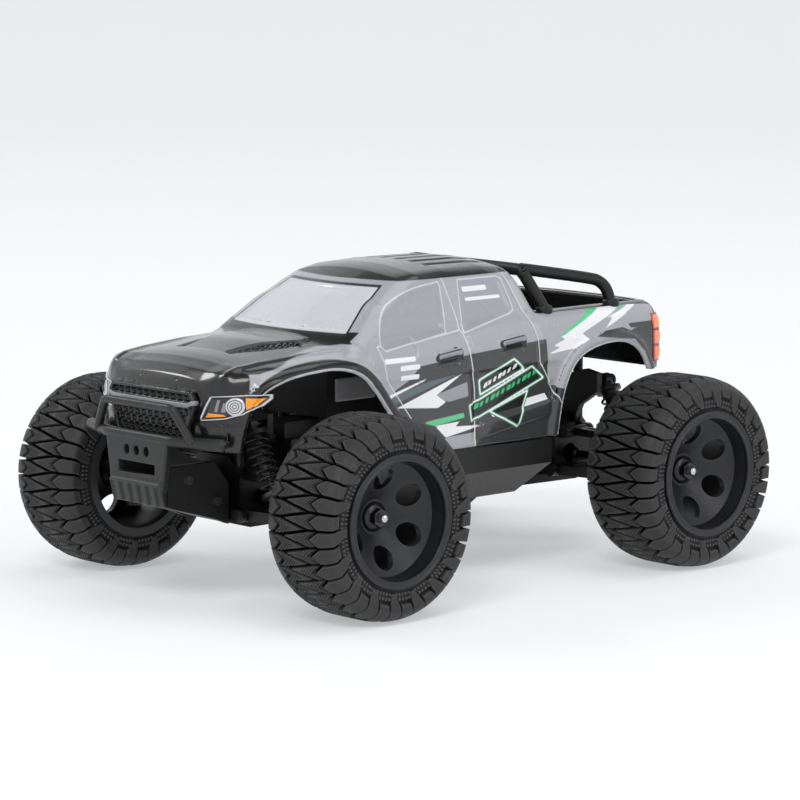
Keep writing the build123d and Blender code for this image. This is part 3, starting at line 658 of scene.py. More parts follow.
def outer_field(x, y, z, maps):
    """The body's outer form with its relief."""
    side_map = sample_map(maps[0], maps[1], maps[2], y, z)
    top_map = plan_relief(x, y)
    width = np.abs(x)
    tumble = 0.20 * np.maximum(z - 72.0, 0.0) + 0.0012 * (z - 58.0) ** 2
    side = (width - (half_width(y) - tumble) - side_map) * 0.97
    top = z - hood_height(x, y) - top_map
    nose_y = -94.4 + 0.0060 * x * x + 0.10 * np.maximum(z - 62.0, 0.0)
    nose_mask = 1 - smoothstep(-90, -76, y)
    nose = nose_y - y - front_relief(x, z) * nose_mask
    tail = y - np.interp(z, [40, 58, 66, 74, 80, 84], [87.6, 88.6, 90.0, 90.3, 89.0, 87.0])
    lower = smooth_max(side, top, 5.0)
    lower = smooth_max(lower, nose * 0.9, 4.0)
    lower = smooth_max(lower, tail, 3.0)
    cab_side = (width - (33.6 - 0.50 * (z - 79.0)) - side_map) * 0.89
    cab_side = np.maximum(smooth_max(cab_side, side, 3.0), 66.0 - z)
    lean = 5.2 * (1 - (x / 30.0) ** 2)
    screen = ((y + 42.6 + lean) * -15.1 + (z - 76.9) * 21.8) / 26.5
    ring = polygon_distance(x, z, SCREEN)
    rim = 0.45 * (1 - smoothstep(-1.6, -0.4, ring)) - 0.22 * band(np.abs(ring), 1.6)
    screen = screen + (1 - smoothstep(-22, -16, y)) * rim
    roof_line = np.interp(y, [-26, -20.7, -16, -9, 3, 20, 29.6, 33],
                          [92, 94.6, 96.7, 97.8, 98.25, 98.1, 97.2, 96])
    roof = z - (roof_line - 0.0040 * x * x) - top_map
    back = ((y - 31.2) * 14.0 + (z - 94.0) * 4.4) / 14.7
    cab = smooth_max(cab_side, screen, 4.0)
    cab = smooth_max(cab, roof, 3.6)
    cab = smooth_max(cab, back, 3.0)
    outer = smooth_min(lower, cab, 1.6)
    bed = smooth_max(np.maximum(width - BED_X, BED_FLOOR_Z - z), np.maximum(BED_Y[0] - y, y - BED_Y[1]), 2.0)
    return smooth_max(outer, -bed, 1.2)


def sample_map(axis_a, axis_b, table, a, b):
    """Bilinear lookup of a table drawn over two even axes."""
    fa = np.clip((a - axis_a[0]) / (axis_a[1] - axis_a[0]), 0, len(axis_a) - 1.001)
    fb = np.clip((b - axis_b[0]) / (axis_b[1] - axis_b[0]), 0, len(axis_b) - 1.001)
    ia, ib = fa.astype(int), fb.astype(int)
    ta, tb = fa - ia, fb - ib
    near = table[ia, ib] * (1 - tb) + table[ia, ib + 1] * tb
    far = table[ia + 1, ib] * (1 - tb) + table[ia + 1, ib + 1] * tb
    return near * (1 - ta) + far * ta


def shell_field(x, y, z, maps):
    """The painted skin: a thin wall under the outer form, cut by the wheel arches and the lower edge."""
    outer = outer_field(x, y, z, maps)
    shell = np.maximum(outer, -(outer + SKIN))
    shell = smooth_max(shell, -sample_map(maps[0], maps[1], maps[3], y, z), 0.5)
    return smooth_max(shell, np.interp(y, *lower_knots()) - z, 0.5)


def settle(points, field, rounds=2):
    """Move points onto the zero level of a field."""
    for _ in range(rounds):
        value = field(points)
        slope = np.zeros_like(points)
        for axis in range(3):
            shift = np.zeros(3)
            shift[axis] = 0.06
            slope[:, axis] = (field(points + shift) - field(points - shift)) / 0.12
        size = np.maximum((slope ** 2).sum(axis=1), 0.4)
        points = points - slope * np.clip(value / size, -0.2, 0.2)[:, None] * 0.8
    return points


def shell_mesh(step, maps):
    xs = np.arange(-42.0, 42.3, step)
    ys = np.arange(-99.0, 93.5, step)
    zs = np.arange(40.0, 100.2, step)
    blocks = []
    for start in range(0, len(xs), 24):
        x = xs[start:start + 24, None, None]
        field = shell_field(x, ys[None, :, None], zs[None, None, :], maps)
        blocks.append(np.broadcast_to(field, (x.shape[0], len(ys), len(zs))).astype(np.float32))
    points, quads = surface_net(np.concatenate(blocks), (xs[0], ys[0], zs[0]), step)
    return settle(points, lambda p: shell_field(p[:, 0], p[:, 1], p[:, 2], maps)), quads


# --- paint scheme, with its painted highlights and painted shade, as signed distances that the paint material reads ---
def bars(*rows):
    """Level bars, each given by its two ends in y, its middle height and its thickness."""
    return [[(start, z + tall / 2), (end, z + tall / 2), (end, z - tall / 2), (start, z - tall / 2)]
            for start, end, z, tall in rows]


# paint outlines in the side view (y, z), on a half-millimetre grid
DOOR_ARROW = [(-29, 57), (-1, 65.5), (-12.5, 59.5), (-8.5, 57), (-12, 55.5)]
SILL_ARROW = [(-13, 50), (-2.5, 50.5), (-4.5, 49), (8, 48.5), (-8.5, 46)]
BED_BOLT = [(64.5, 81.5), (74.5, 81.5), (51.5, 73.5), (54, 71.5), (47.5, 69), (34.5, 68), (42, 70),
            (37.5, 70.5), (44.5, 72.5), (41, 73)]
TAIL_BOLT = [(79.5, 81.5), (83, 81.5), (71.5, 78), (74, 78.5), (62, 74), (66.5, 77.5), (64, 77.5)]
WING_LINE = [(-34.5, 60.5), (-17, 65), (-17, 64.5), (-34, 59.5)]
PANEL_FOOT = [(9.5, 53), (34, 56), (35.5, 54), (25, 52.5), (11.5, 50.5)]
WING_BARS = bars((-33.5, -21, 71.5, 1.5), (-27.5, -19.5, 69, 1.5), (-27.5, -20, 66, 1.5))
STRIPES_WHITE = [DOOR_ARROW, SILL_ARROW, BED_BOLT, TAIL_BOLT, WING_LINE, PANEL_FOOT] + WING_BARS
STRIPES_MINT = [[(-18.5, 51.5), (-1, 53), (-0.5, 51.5), (-13, 50)],
                [(59, 81.5), (63.5, 81.5), (43.5, 73.5), (39.5, 72.5)],
                [(75, 81.5), (79, 81.5), (67.5, 79)]]
TEAL = [[(-34.5, 60), (-15.5, 64), (-2.5, 65.5), (-32.5, 57.5)]]
SPLASH = [[(-15.5, 59), (0.5, 62.5), (1, 58), (-7, 57)]]
WINDOW_BARS = bars((7, 17.5, 90, 1.5), (7, 22, 87, 1))
PANELS = [[(5.5, 62.5), (20.5, 68), (25, 64.5), (6, 58)],
          [(1.5, 55), (28.5, 65), (33.5, 61), (2.5, 50)],
          [(10, 52.5), (26.5, 57.5), (22, 46.5)]]
DARK_DOOR = [(-19.5, 69), (2.5, 71), (35, 73), (35.5, 58.5), (42.5, 56.5), (44, 38), (-24, 38), (-36, 57),
             (-29.5, 62.5), (-24, 65)]
SILVER_LOW = [(-8.5, 46), (4.5, 46.5), (4.5, 38), (-12, 38)]
DARK_TAIL = [(74, 73), (100, 76), (100, 50), (84.5, 54), (82, 60.5), (78.5, 66.5)]
DARK_CAP = [(57, 72), (62, 73.5), (70, 74), (77, 71.5), (81, 67), (78.5, 66), (74, 70)]
DARK_SPOTS = [[(72.5, 75), (87, 75), (86.5, 73), (74, 73.5)],
              [(36.5, 58), (39, 58), (40, 56), (39, 53), (36.5, 53.5), (36, 55.5)]]
BONNET_EDGE_Y = [-100, -88, -80, -62, -45, -43]
BONNET_EDGE_Z = [72, 71.5, 71.5, 75, 76.5, 77]


def nearest(shapes, a, b):
    best = polygon_distance(a, b, shapes[0])
    for outline in shapes[1:]:
        best = np.minimum(best, polygon_distance(a, b, outline))
    return best


def slashes(start, end, count, height):
    """Slanted bars spaced along a line, as plain marks on a panel."""
    start, end = np.array(start), np.array(end)
    along = (end - start) / count
    shapes = []
    for index in range(count):
        foot = start + along * (index + 0.1)
        wide = along * (0.55 if index % 3 else 0.75)
        lift = np.array([0.35, 1.0]) * height
        shapes.append([tuple(foot), tuple(foot + wide), tuple(foot + wide + lift), tuple(foot + lift)])
    return shapes


def paint_fields(points):
    """Signed distance, in millimetres, from each colour's area: negative where the colour is."""
    x, y, z = points.T
    width = np.abs(x)
    arch = arch_distance(y, z)
    dark = nearest([DARK_DOOR, DARK_TAIL, DARK_CAP] + DARK_SPOTS, y, z)
    dark = np.maximum(dark, -polygon_distance(y, z, SILVER_LOW))
    front_band = np.maximum(polygon_distance(y, z, curve_through(ARCH_FRONT, 5)) - 3.3, y + 20.0)
    bonnet = np.maximum(np.interp(y, BONNET_EDGE_Y, BONNET_EDGE_Z) - z, np.maximum(y + 37.0, z - 80.2))
    bonnet = np.maximum(bonnet, np.where(y > -41.5, width - 30.0, -9.0))
    black = np.minimum(np.minimum(bonnet, front_band), y + 85.5 - 0.22 * (z - 60.0))
    roof = np.maximum(93.9 + 0.055 * (y + 20.0) * (y < -20.0) - z, -22.6 - y)
    bed_top = np.maximum(np.maximum(width - 32.6, 34.5 - y), 70.0 - z)
    rail_cap = np.maximum(80.9 - z, 34.0 - y)
    back = np.maximum(86.6 - y, width - 34.5)
    for area in (roof, bed_top, rail_cap, back):
        black = np.minimum(black, area)
    inboard = np.interp(z, [74, 80, 93], [33, 29, 22.5]) - width
    glass = np.maximum(nearest([WINDOW_FRONT, WINDOW_REAR], y, z), inboard)
    screen = np.maximum(polygon_distance(x, z, SCREEN), y + 16.0)
    graphics_off = np.maximum(30.0 - width, y - 86.0)
    # painted shade and painted highlight on the door handles: a dark patch over each handle and its recess,
    # and a lighter strip along its top
    grips = [[(cy - 4.4, cz - 0.45), (cy + 4.4, cz + 0.45)] for cy, cz in HANDLES]
    handle_painted_shade = np.minimum(*[line_distance(y, z, grip) for grip in grips])
    grip = np.minimum(*[line_distance(y, z - 0.45, grip) for grip in grips])
    handle_painted_shade = np.maximum(handle_painted_shade, 30.0 - width)
    grip = np.maximum(grip, 30.0 - width)
    fields = {"handle_painted_shade": handle_painted_shade, "grip": grip, "bars": np.maximum(nearest(WINDOW_BARS, y, z), inboard),
              "black": black, "dark": dark, "glass": glass, "screen": screen,
              "arch": np.where((y < -79.0) & (z < 61.0), 9.0, arch),
              # painted highlight: light lines along the front and rear door seams
              "door_front_seam_highlight": np.maximum(polygon_distance(y, z, DOOR_FRONT), inboard),
              "door_rear_seam_highlight": np.maximum(polygon_distance(y, z, DOOR_REAR), inboard)}
    graphics = {"teal": TEAL, "splash": SPLASH, "panel": PANELS, "white": STRIPES_WHITE, "mint": STRIPES_MINT,
                "marks_white": slashes((7.0, 59.6), (21.6, 65.2), 7, 1.6),
                "marks_mint": slashes((3.2, 53.2), (30.6, 62.7), 12, 1.7)}
    for name, shapes in graphics.items():
        fields[name] = np.maximum(nearest(shapes, y, z), graphics_off)
    fields = {"paint_" + name: values for name, values in fields.items()}
    return fields


def area_mask(tree, name, edge=0.0, soft=0.12, line=False):
    """1 where the named signed distance is under edge or, for a line, within edge of zero."""
    value = point_value(tree, name)
    if line:
        size = tree.nodes.new("ShaderNodeMath")
        size.operation = "ABSOLUTE"
        tree.links.new(value, size.inputs[0])
        value = size.outputs[0]
    return remap(tree, value, edge + soft, edge - soft)


PAINT_LAYERS = [
    ("paint_dark", 0.0, False, (0.042, 0.043, 0.046)),
    ("paint_splash", 0.0, False, (0.30, 0.31, 0.33)),
    ("paint_teal", 0.0, False, (0.10, 0.135, 0.15)),
    # painted highlight along the door seams
    ("paint_door_front_seam_highlight", 0.17, True, (0.66, 0.67, 0.70)),
    ("paint_door_rear_seam_highlight", 0.17, True, (0.66, 0.67, 0.70)),
    ("paint_white", 0.0, False, (0.86, 0.87, 0.89)),
    ("paint_mint", 0.0, False, (0.11, 0.56, 0.27)),
    ("paint_panel", 0.0, False, (0.012, 0.012, 0.013)),
    ("paint_panel", 0.62, True, (0.02, 0.22, 0.08)),
    ("paint_panel", 0.26, True, (0.86, 0.87, 0.89)),
    ("paint_marks_white", 0.0, False, (0.80, 0.81, 0.83)),
    ("paint_marks_mint", 0.0, False, (0.03, 0.50, 0.17)),
    # painted shade over the door handles, then a painted highlight along their tops
    ("paint_handle_painted_shade", 1.5, False, (0.012, 0.012, 0.013)),
    ("paint_grip", 0.7, False, (0.30, 0.305, 0.33)),
    ("paint_glass", 0.0, False, (0.33, 0.33, 0.37)),
    ("paint_glass", 0.20, True, (0.60, 0.61, 0.64)),
    ("paint_bars", 0.0, False, (0.80, 0.81, 0.84)),
    ("paint_black", 0.0, False, (0.006, 0.006, 0.0065)),
    ("paint_arch", 0.9, True, (0.56, 0.57, 0.60)),
    ("paint_screen", 0.0, False, (0.60, 0.61, 0.64)),
    ("paint_screen", 0.35, True, (0.02, 0.02, 0.02))]


def paint_material():
    """Gloss shell paint: silver grey with dark, white and mint graphics under a clear coat, with painted
    highlights along the door seams and on the handle tops and painted shade over the handles.
    """
    material, tree, shader, _, colour = glazed("shell_paint", 5200.0, 2.0, (0.33, 0.335, 0.365),
                                                       (0.41, 0.415, 0.445))
    smoke = object_noise(tree, 75.0, 4.0)
    for name, edge, line, tint in PAINT_LAYERS:
        colour = layer(tree, colour, tint, area_mask(tree, name, edge, line=line))
    finish_glaze(tree, shader, colour, smoke, (0.22, 0.30), 0.6)
    shader.inputs["Specular IOR Level"].default_value = 0.35
    shader.inputs["Coat Roughness"].default_value = 0.06
    return material


def add_fields(piece, fields):
    """Store per-point values that the piece's material reads."""
    for name, values in fields.items():
        data = piece.data.attributes.new(name, "FLOAT", "POINT")
        data.data.foreach_set("value", np.asarray(values, np.float32).ravel())


def add_shell(maps):
    points, quads = shell_mesh(0.6, maps)
    shell = add_array_mesh("painted_shell", points, quads, "body", paint_material(),
                           replaces=["body_shell"])
    add_fields(shell, paint_fields(points))


# --- pieces set into the shell ---
def sheet_block(front, back):
    """A closed block between two rows x columns sheets of points."""
    rows, columns = front.shape[:2]
    points = np.concatenate([front.reshape(-1, 3), back.reshape(-1, 3)])
    ahead = np.arange(rows * columns).reshape(rows, columns)
    faces = np.stack([ahead[:-1, :-1], ahead[:-1, 1:], ahead[1:, 1:], ahead[1:, :-1]], axis=-1).reshape(-1, 4)
    quads = [faces, faces[:, ::-1] + rows * columns]
    loop = np.concatenate([ahead[0, :-1], ahead[:-1, -1], ahead[-1, :0:-1], ahead[:0:-1, 0]])
    after = np.roll(loop, -1)
    quads.append(np.stack([after, loop, loop + rows * columns, after + rows * columns], axis=-1))
    quads = np.concatenate(quads)
    a, b, c, d = [points[quads[:, k]] for k in range(4)]
    volume = (np.cross(a, b) * c).sum() + (np.cross(a, c) * d).sum()
    return points, (quads if volume > 0 else quads[:, ::-1])


def merged(blocks):
    """Several (points, quads) blocks as one."""
    points, quads, start = [], [], 0
    for block_points, block_quads in blocks:
        points.append(block_points)
        quads.append(block_quads + start)
        start += len(block_points)
    return np.concatenate(points), np.concatenate(quads)


def mirrored(points, quads):
    return points * np.array([-1.0, 1.0, 1.0]), quads[:, ::-1]


def reach_shell(starts, directions, maps, reach):
    """Where rays from inside the body's outer form leave it."""
    near = np.zeros(len(starts))
    far = np.full(len(starts), float(reach))
    for _ in range(22):
        middle = (near + far) / 2
        point = starts + directions * middle[:, None]
        inside = outer_field(point[:, 0], point[:, 1], point[:, 2], maps) < 0
        near = np.where(inside, middle, near)
        far = np.where(inside, far, middle)
    return starts + directions * near[:, None]


LAMP_TOP = [(20.6, 58.2), (23.7, 64.9), (34.5, 65.9), (36.7, 65.7)]
LAMP_FOOT = [(20.6, 57.5), (28.0, 58.4), (33.0, 60.0), (35.8, 62.4), (36.7, 64.6)]
LAMP_OUTLINE = LAMP_FOOT + LAMP_TOP[::-1]
LAMP_AMBER = [[(33.1, 64.9), (36.1, 64.7), (35.3, 62.9), (33.5, 61.3)],
              [(21.6, 58.5), (22.5, 59.9), (27.4, 59.7), (28.2, 59.2)]]
LAMP_BARS = [[(24.6, 60.4), (25.5, 64.0), (26.4, 64.0), (25.6, 60.4)],
             [(26.7, 60.4), (27.3, 63.2), (28.4, 63.2), (28.0, 60.4)]]
LAMP_EYE = (30.6, 62.2)


LAMP_RINGS = ((2.75, 0.02), (2.6, 0.6), (2.05, 0.05), (1.8, 0.55), (1.3, 0.04), (1.1, 0.5), (0.6, 0.08),
              (0.35, 0.7))


def lamp_material():
    """Black lamp with a light outline, a ringed projector, grey bars and amber wedges."""
    material, tree, shader, haze, colour = glazed("head_lamp", 900.0, 2.0, (0.006, 0.006, 0.007),
                                                          (0.014, 0.014, 0.015))
    colour = layer(tree, colour, (0.22, 0.225, 0.24), area_mask(tree, "lamp_bars", soft=0.06))
    colour = layer(tree, colour, (0.95, 0.33, 0.01), area_mask(tree, "lamp_amber", soft=0.06))
    for radius, tint in LAMP_RINGS:
        ring = area_mask(tree, "lamp_eye", radius, soft=0.07)
        colour = layer(tree, colour, (tint, tint, tint * 1.04), ring)
    colour = layer(tree, colour, (0.62, 0.63, 0.66), area_mask(tree, "lamp_edge", 0.3, 0.08, True))
    finish_glaze(tree, shader, colour, haze, (0.16, 0.24), 0.6)
    return material


def add_headlights(maps):
    rows, columns = 100, 46
    across = np.linspace(20.75, 36.6, rows)[:, None]
    share = np.linspace(0, 1, columns)[None, :]
    top = np.interp(across, *zip(*LAMP_TOP))
    foot = np.interp(across, *zip(*LAMP_FOOT))
    x = (across + 0 * share).ravel()
    z = (foot + (top - foot) * share).ravel()
    starts = np.stack([x, np.full_like(x, -66.0), z], axis=1)
    skin = reach_shell(starts, np.tile([0.0, -1.0, 0.0], (len(x), 1)), maps, 36.0)
    eye = np.hypot(x - LAMP_EYE[0], z - LAMP_EYE[1])
    edge = polygon_distance(x, z, LAMP_OUTLINE)
    out = np.array([0.45, -0.87, 0.1])
    lift = 0.35 + 0.55 * np.sqrt(np.clip(1 - (eye / 2.7) ** 2, 0, 1)) + 0.25 * band(np.abs(edge + 0.2), 0.7)
    front = (skin + out * lift[:, None]).reshape(rows, columns, 3)
    back = (skin - out * 0.5).reshape(rows, columns, 3)
    left = sheet_block(front, back)
    points, quads = merged([left, mirrored(*left)])
    piece = add_array_mesh("lamp_lenses", points, quads, "body", lamp_material(),
                           replaces=["headlights"])
    fields = {"lamp_eye": eye, "lamp_edge": edge, "lamp_amber": nearest(LAMP_AMBER, x, z),
              "lamp_bars": nearest(LAMP_BARS, x, z)}
    add_fields(piece, {name: np.tile(values, 4) for name, values in fields.items()})


def tail_material():
    """Orange red lens with three lit cells and dark dividers."""
    material, tree, shader, haze, colour = glazed("tail_lens", 700.0, 2.0, (0.62, 0.045, 0.012),
                                                          (0.86, 0.09, 0.02))
    colour = layer(tree, colour, (0.95, 0.30, 0.10), area_mask(tree, "tail_cell"))
    colour = layer(tree, colour, (0.03, 0.012, 0.01), area_mask(tree, "tail_edge", 0.25, 0.1, True))
    finish_glaze(tree, shader, colour, haze, (0.14, 0.22), 0.7)
    return material


def add_taillights(maps):
    rows, columns = 60, 44
    z = np.linspace(61.8, 77.2, rows)[:, None] + np.zeros(columns)
    turn = np.radians(np.linspace(-4, 74, columns))[None, :] + np.zeros((rows, 1))
    direction = np.stack([np.cos(turn), np.sin(turn), 0 * turn], axis=-1).reshape(-1, 3)
    starts = np.stack([np.full(z.size, 31.6), np.full(z.size, 85.0), z.ravel()], axis=1)
    skin = reach_shell(starts, direction, maps, 12.0)
    u = turn.ravel()
    height = z.ravel()
    cell = np.abs((height - 61.8) / 5.13 % 1.0 - 0.5) * 5.13
    low, high = math.radians(2), math.radians(68)
    inner = np.maximum(cell - 2.0, np.maximum(low - u, u - high) * 5.0)
    edge = np.minimum(2.56 - cell, 9.0)
    dome = 0.25 * (1 - smoothstep(-1.2, 0.2, inner))
    front = (skin + direction * (0.45 + dome)[:, None]).reshape(rows, columns, 3)
    back = (skin - direction * 0.7).reshape(rows, columns, 3)
    left = sheet_block(front, back)
    points, quads = merged([left, mirrored(*left)])
    piece = add_array_mesh("tail_lenses", points, quads, "body", tail_material(),
                           replaces=["taillights"])
    add_fields(piece, {"tail_cell": np.tile(inner, 4), "tail_edge": np.tile(edge, 4)})


def honeycomb(x, z, pitch):
    """Distance to the nearest wall of a honeycomb."""
    best = np.full(np.broadcast(x, z).shape, 1e9)
    second = best.copy()
    row = pitch * 0.866
    base = np.round(z / row)
    for step in (-1, 0, 1):
        level = base + step
        offset = 0.5 * pitch * (level % 2)
        for side in (-1, 0, 1):
            cx = (np.round((x - offset) / pitch) + side) * pitch + offset
            gap = np.hypot(x - cx, z - level * row)
            second = np.where(gap < best, best, np.minimum(second, gap))
            best = np.minimum(best, gap)
    return (second - best) * 0.5


def grille_material():
    """Gloss black with one grey bar."""
    material, tree, shader, haze, colour = glazed("grille_gloss", 900.0, 2.0, (0.008, 0.008, 0.009),
                                                          (0.016, 0.016, 0.017))
    colour = layer(tree, colour, (0.30, 0.305, 0.32), area_mask(tree, "grille_bar", 0.0, 0.1))
    finish_glaze(tree, shader, colour, haze, (0.2, 0.32))
    return material


def add_grille():
    rows, columns = 96, 210
    z = np.linspace(50.4, 65.9, rows)[:, None] + np.zeros(columns)
    half = np.interp(z, [50.4, 61.8, 63.0, 65.9], [15.9, 20.0, 20.4, 18.6])
    x = np.linspace(-1, 1, columns)[None, :] * half
    top = polygon_distance(np.abs(x), z, [(-1, 65.2), (18.0, 65.2), (19.2, 63.2), (17.0, 62.9), (-1, 62.9)])
    low = polygon_distance(x, z, [(-18.3, 60.9), (18.3, 60.9), (15.2, 51.2), (-15.2, 51.2)])
    opening = np.minimum(top, low)
    wall = honeycomb(x, z * 1.3, 3.1)
    mesh_depth = 0.6 + 0.9 * smoothstep(0.2, 0.6, wall)
    depth = np.where(opening < 0, smoothstep(0, 0.45, -opening) * mesh_depth, 0.0)
    bar = band(np.abs(z - 61.9 - 0.9 * smoothstep(17.0, 20.0, np.abs(x))), 0.9)
    y = -95.3 - 0.35 * bar + depth + 0.0019 * x * x
    front = np.stack([x, y, z], axis=-1)
    back = np.stack([x, np.maximum(y + 0.4, -93.4 + 0.0019 * x * x), z], axis=-1)
    points, quads = sheet_block(front, back)
    material = grille_material()
    piece = add_array_mesh("grille_mesh", points, quads, "body", material, replaces=["grille"])
    add_fields(piece, {"grille_bar": np.tile((0.45 - bar).ravel(), 2)})


# --- tubes ---
def dome(point, direction, across, upward, radius, turns):
    """Shrinking loops that round off a tube's end, as (middle, across, upward, size)."""
    return [(point + direction * radius * 0.5 * math.sin(math.radians(turn)), across, upward,
             radius * math.cos(math.radians(turn))) for turn in turns]


def tube(path, radius, sides=16):
    """A round tube with domed ends along a run of points."""
    path = np.array(path, float)
    along = np.gradient(path, axis=0)
    along /= np.linalg.norm(along, axis=1)[:, None]
    up = np.array([0.0, 0.0, 1.0]) if abs(along[0][2]) < 0.9 else np.array([1.0, 0.0, 0.0])
    rings = []
    angles = np.linspace(0, 2 * math.pi, sides, endpoint=False)
    for point, direction in zip(path, along):
        across = np.cross(up, direction)
        across /= np.linalg.norm(across)
        up = np.cross(direction, across)
        rings.append((point, direction, across, up))
    point, direction, across, upward = rings[0]
    loops = dome(point, -direction, across, upward, radius, (80, 50, 20))
    loops += [(point, across, upward, radius) for point, direction, across, upward in rings]
    point, direction, across, upward = rings[-1]
    loops += dome(point, direction, across, upward, radius, (20, 50, 80))
    points = []
    for middle, across, upward, size in loops:
        for angle in angles:
            points.append(middle + size * (across * math.cos(angle) + upward * math.sin(angle)))
    last = (len(loops) - 1) * sides
    caps = [tuple(range(sides))[::-1], tuple(range(last, last + sides))]
    return points, faces_between(len(loops), sides) + caps


def joined(shapes):
    points, faces = [], []
    for shape_points, shape_faces in shapes:
        start = len(points)
        points += [tuple(p) for p in shape_points]
        faces += [tuple(start + k for k in face) for face in shape_faces]
    return points, faces


def add_sports_bar(material):
    hoop = [(31, 40, 80.6), (30, 39.3, 83.6), (26.3, 36.8, 91), (25, 36, 93), (22.4, 35.6, 94)]
    hoop += [(-x, y, z) for x, y, z in reversed(hoop)]
    shapes = [tube(curve_through(hoop, 6), 1.95, 20)]
    for side in (-1, 1):
        brace = [(24.4, 35.9, 94.2), (25.6, 44, 92.9), (28, 62, 89.8), (29.2, 66.6, 88.4), (30.2, 69, 85.6),
                 (31, 70.2, 80.8)]
        shapes.append(tube(curve_through([(side * x, y, z) for x, y, z in brace], 6), 1.9, 20))
        for y in (40.0, 70.2):
            shapes.append(tube([(side * 31.0, y, 80.9), (side * 31.0, y, 81.9)], 2.7, 20))
    points, faces = joined(shapes)
    add_mesh("sports_bar", points, faces, "body", material, replaces=["roll_bar"])


def guard_field(x, y, z):
    """Bumper plate with a window and three holes, its ribbed skid and the two arms behind it."""
    width = np.abs(x)
    half = np.interp(z, [36.0, 51.4], [12.4, 14.8])
    plate = smooth_max(width - half, np.abs(y - TIP_Y - 2.4) - 1.15, 0.7)
    plate = smooth_max(plate, np.abs(z - 43.7) - 7.7, 0.7)
    window = np.maximum(width - 8.6, np.abs(z - 41.9) - 1.7)
    plate = smooth_max(plate, -window, 0.5)
    for middle in (-4.6, 0.0, 4.6):
        hole = np.hypot(x - middle, (z - 47.2) * 0.85) - 1.25
        plate = smooth_max(plate, -hole, 0.4)
    skid = [(3.4, 39.2), (1.6, 39.4), (0.2, 37.6), (1.8, 31.2), (3.4, 30.8)]
    skid = smooth_max(polygon_distance(y - TIP_Y, z, skid), width - 12.2, 0.9)
    rib = np.abs((x + 2.1) / 4.2 - np.round((x + 2.1) / 4.2)) * 4.2
    groove = np.maximum(np.maximum(rib - 1.0, z - 37.0), y - TIP_Y - 1.0 - (37.0 - z) * 0.22)
    skid = smooth_max(skid, -groove, 0.5)
    arm = [(TIP_Y + 3.0, 43.4), (TIP_Y + 3.0, 50.0), (-95.6, 50.0), (-93.6, 47.6), (-84.4, 43.4)]
    arm = smooth_max(polygon_distance(y, z, arm), np.abs(width - 11.5) - 1.8, 0.7)
    return smooth_min(smooth_min(plate, skid, 0.5), arm, 0.5)


def add_front_guard(material):
    """Bumper: a moulded plate and skid, a cross tube and the hoop over it."""
    step = 0.3
    xs = np.arange(-16.0, 16.01, step)
    ys = np.arange(TIP_Y - 1.0, -83.0, step)
    zs = np.arange(29.6, 52.6, step)
    field = guard_field(xs[:, None, None], ys[None, :, None], zs[None, None, :])
    points, quads = surface_net(field, (xs[0], ys[0], zs[0]), step)
    plate = (settle(points, lambda p: guard_field(p[:, 0], p[:, 1], p[:, 2])), quads)
    piece = add_array_mesh("guard_plate", plate[0], plate[1], "chassis", material,
                           replaces=["front_bumper"])
    hoop = [(22.4, -97.2, 51.6), (17.4, -98.7, 59.4), (15.4, -99.2, 61.1), (11, -99.2, 61.2),
            (0, -99.2, 61.2)]
    bar = [(31.4, -92.6, 51.4), (18, -97.6, 51.4), (14, -98.6, 51.4), (6, -98.7, 51.4), (0, -98.7, 51.4)]
    shapes = []
    for path, radius in ((hoop, 1.35), (bar, 1.75)):
        path = path + [(-x, y, z) for x, y, z in path[-2::-1]]
        shapes.append(tube(curve_through(path, 6), radius, 24))
    for side in (-1, 1):
        shapes.append(tube([(side * 31.0, -92.75, 51.4), (side * 31.9, -92.4, 51.4)], 1.35, 20))
    points, faces = joined(shapes)
    add_mesh("guard_tubes", points, faces, "chassis", material)


def add_half_shafts(material):
    for name, flip, y in CORNERS:
        shapes = [tube([(flip * x, y, TYRE_R) for x in np.linspace(14.5, 49.0, 8)], 1.15)]
        for x in (14.6, 48.6):
            shapes.append(tube([(flip * (x - 0.9), y, TYRE_R), (flip * (x + 0.9), y, TYRE_R)], 1.9))
        points, faces = joined(shapes)
        add_mesh("half_shaft_" + name, points, faces, "lower_arm_" + name, material)


def add_label_plate(material):
    """A blank grey plate on the control unit's left side."""
    rows, columns = 20, 44
    v = np.linspace(-1, 1, rows)[:, None] + np.zeros(columns)
    u = np.linspace(-1, 1, columns)[None, :] + np.zeros((rows, 1))
    round_u = u * np.sqrt(1 - 0.5 * np.abs(v) ** 8 * 0.06)
    y = -25.2 + 8.2 * round_u
    z = 60.6 + 3.6 * v * np.sqrt(1 - 0.5 * np.abs(u) ** 8 * 0.10)
    edge = np.maximum(np.abs(u), np.abs(v))
    x = 14.5 - 0.25 * smoothstep(0.9, 1.0, edge)
    front = np.stack([x, y, z], axis=-1)
    back = np.stack([np.full_like(y, 13.95), y, z], axis=-1)
    points, quads = sheet_block(front, back)
    add_array_mesh("label_plate", points, quads, "chassis", material)


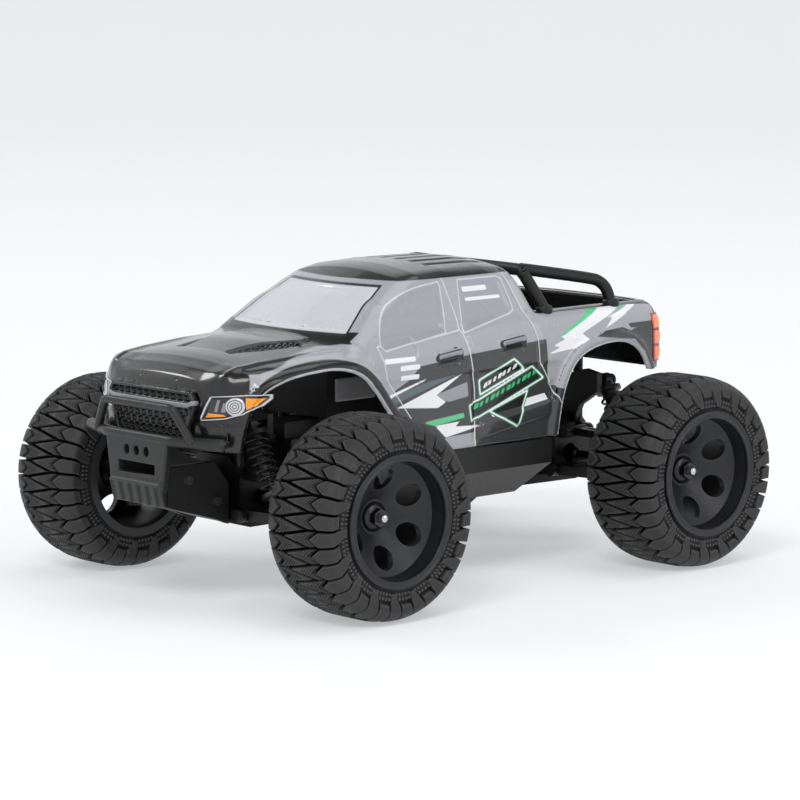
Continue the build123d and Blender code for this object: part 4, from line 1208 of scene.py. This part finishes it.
FINISHES = {
    "tyre": ((0.012, 0.012, 0.012), 0.6, 0.0),
    "rim": ((0.013, 0.0135, 0.015), 0.36, 0.0),
    "steel": ((0.24, 0.24, 0.25), 0.30, 1.0),
    "dark_screw": ((0.035, 0.035, 0.037), 0.20, 0.8),
    "spring": ((0.007, 0.007, 0.0075), 0.28, 0.0),
    "black_plastic": ((0.003, 0.003, 0.0032), 0.42, 0.0),
    "bumper_plastic": ((0.017, 0.0175, 0.018), 0.36, 0.0),
    "body_paint": ((0.36, 0.37, 0.39), 0.30, 0.0),
    "lamp": ((0.01, 0.01, 0.01), 0.20, 0.0),
    "tail_lamp": ((0.8, 0.1, 0.02), 0.20, 0.0),
    "grille_trim": ((0.012, 0.012, 0.012), 0.30, 0.0),
    "gear_steel": ((0.33, 0.32, 0.30), 0.35, 1.0),
    "motor_can": ((0.52, 0.52, 0.53), 0.26, 1.0),
    "battery_wrap": ((0.03, 0.05, 0.10), 0.30, 0.0),
    "case_plastic": ((0.005, 0.005, 0.0055), 0.5, 0.0),
    "button": ((0.5, 0.02, 0.015), 0.40, 0.0)}


def dress_frame():
    """Give every CAD node the finish of its material slot."""
    finishes = {}
    for slot, (colour, roughness, metallic) in FINISHES.items():
        finishes[slot] = grained("finish_" + slot, colour, roughness, metallic=metallic)
    finishes["shock_rod"] = grained("finish_shock_rod", (0.05, 0.05, 0.052), 0.28, metallic=1.0)
    for entry in frame["record"]["subparts"]:
        node = frame["nodes"][entry["node"]]
        finish = "shock_rod" if entry["node"].startswith("shock_rod") else entry["material_slot"]
        node.data.materials.clear()
        node.data.materials.append(finishes[finish])
    return finishes


add_camera()
set_world()
add_stage()
add_light("key_softbox", (0.9, -1.6, 1.9), (0.0, 0.0, 0.05), (1.0, 0.7), 20.0)
add_light("bonnet_softbox", (-1.75, -0.65, 1.6), (0.0, 0.0, 0.05), (0.6, 0.4), 7.0)
add_light("top_softbox", (0.2, 0.5, 2.2), (0.0, 0.0, 0.05), (2.0, 1.6), 14.0)
add_light("side_strip", (2.0, 0.6, 0.9), (0.0, 0.0, 0.05), (0.8, 1.2), 7.0)
finishes = dress_frame()
add_tyres()
shell_maps = plane_maps(0.25)
add_shell(shell_maps)
add_headlights(shell_maps)
add_taillights(shell_maps)
add_grille()
add_sports_bar(finishes["black_plastic"])
add_half_shafts(finishes["shock_rod"])
stub_steel = grained("stub_steel", (0.55, 0.55, 0.56), 0.25, metallic=1.0)
add_wheel_trim(finishes["rim"], finishes["dark_screw"], stub_steel)
add_front_guard(finishes["bumper_plastic"])
add_label_plate(grained("label_grey", (0.33, 0.33, 0.335), 0.5))
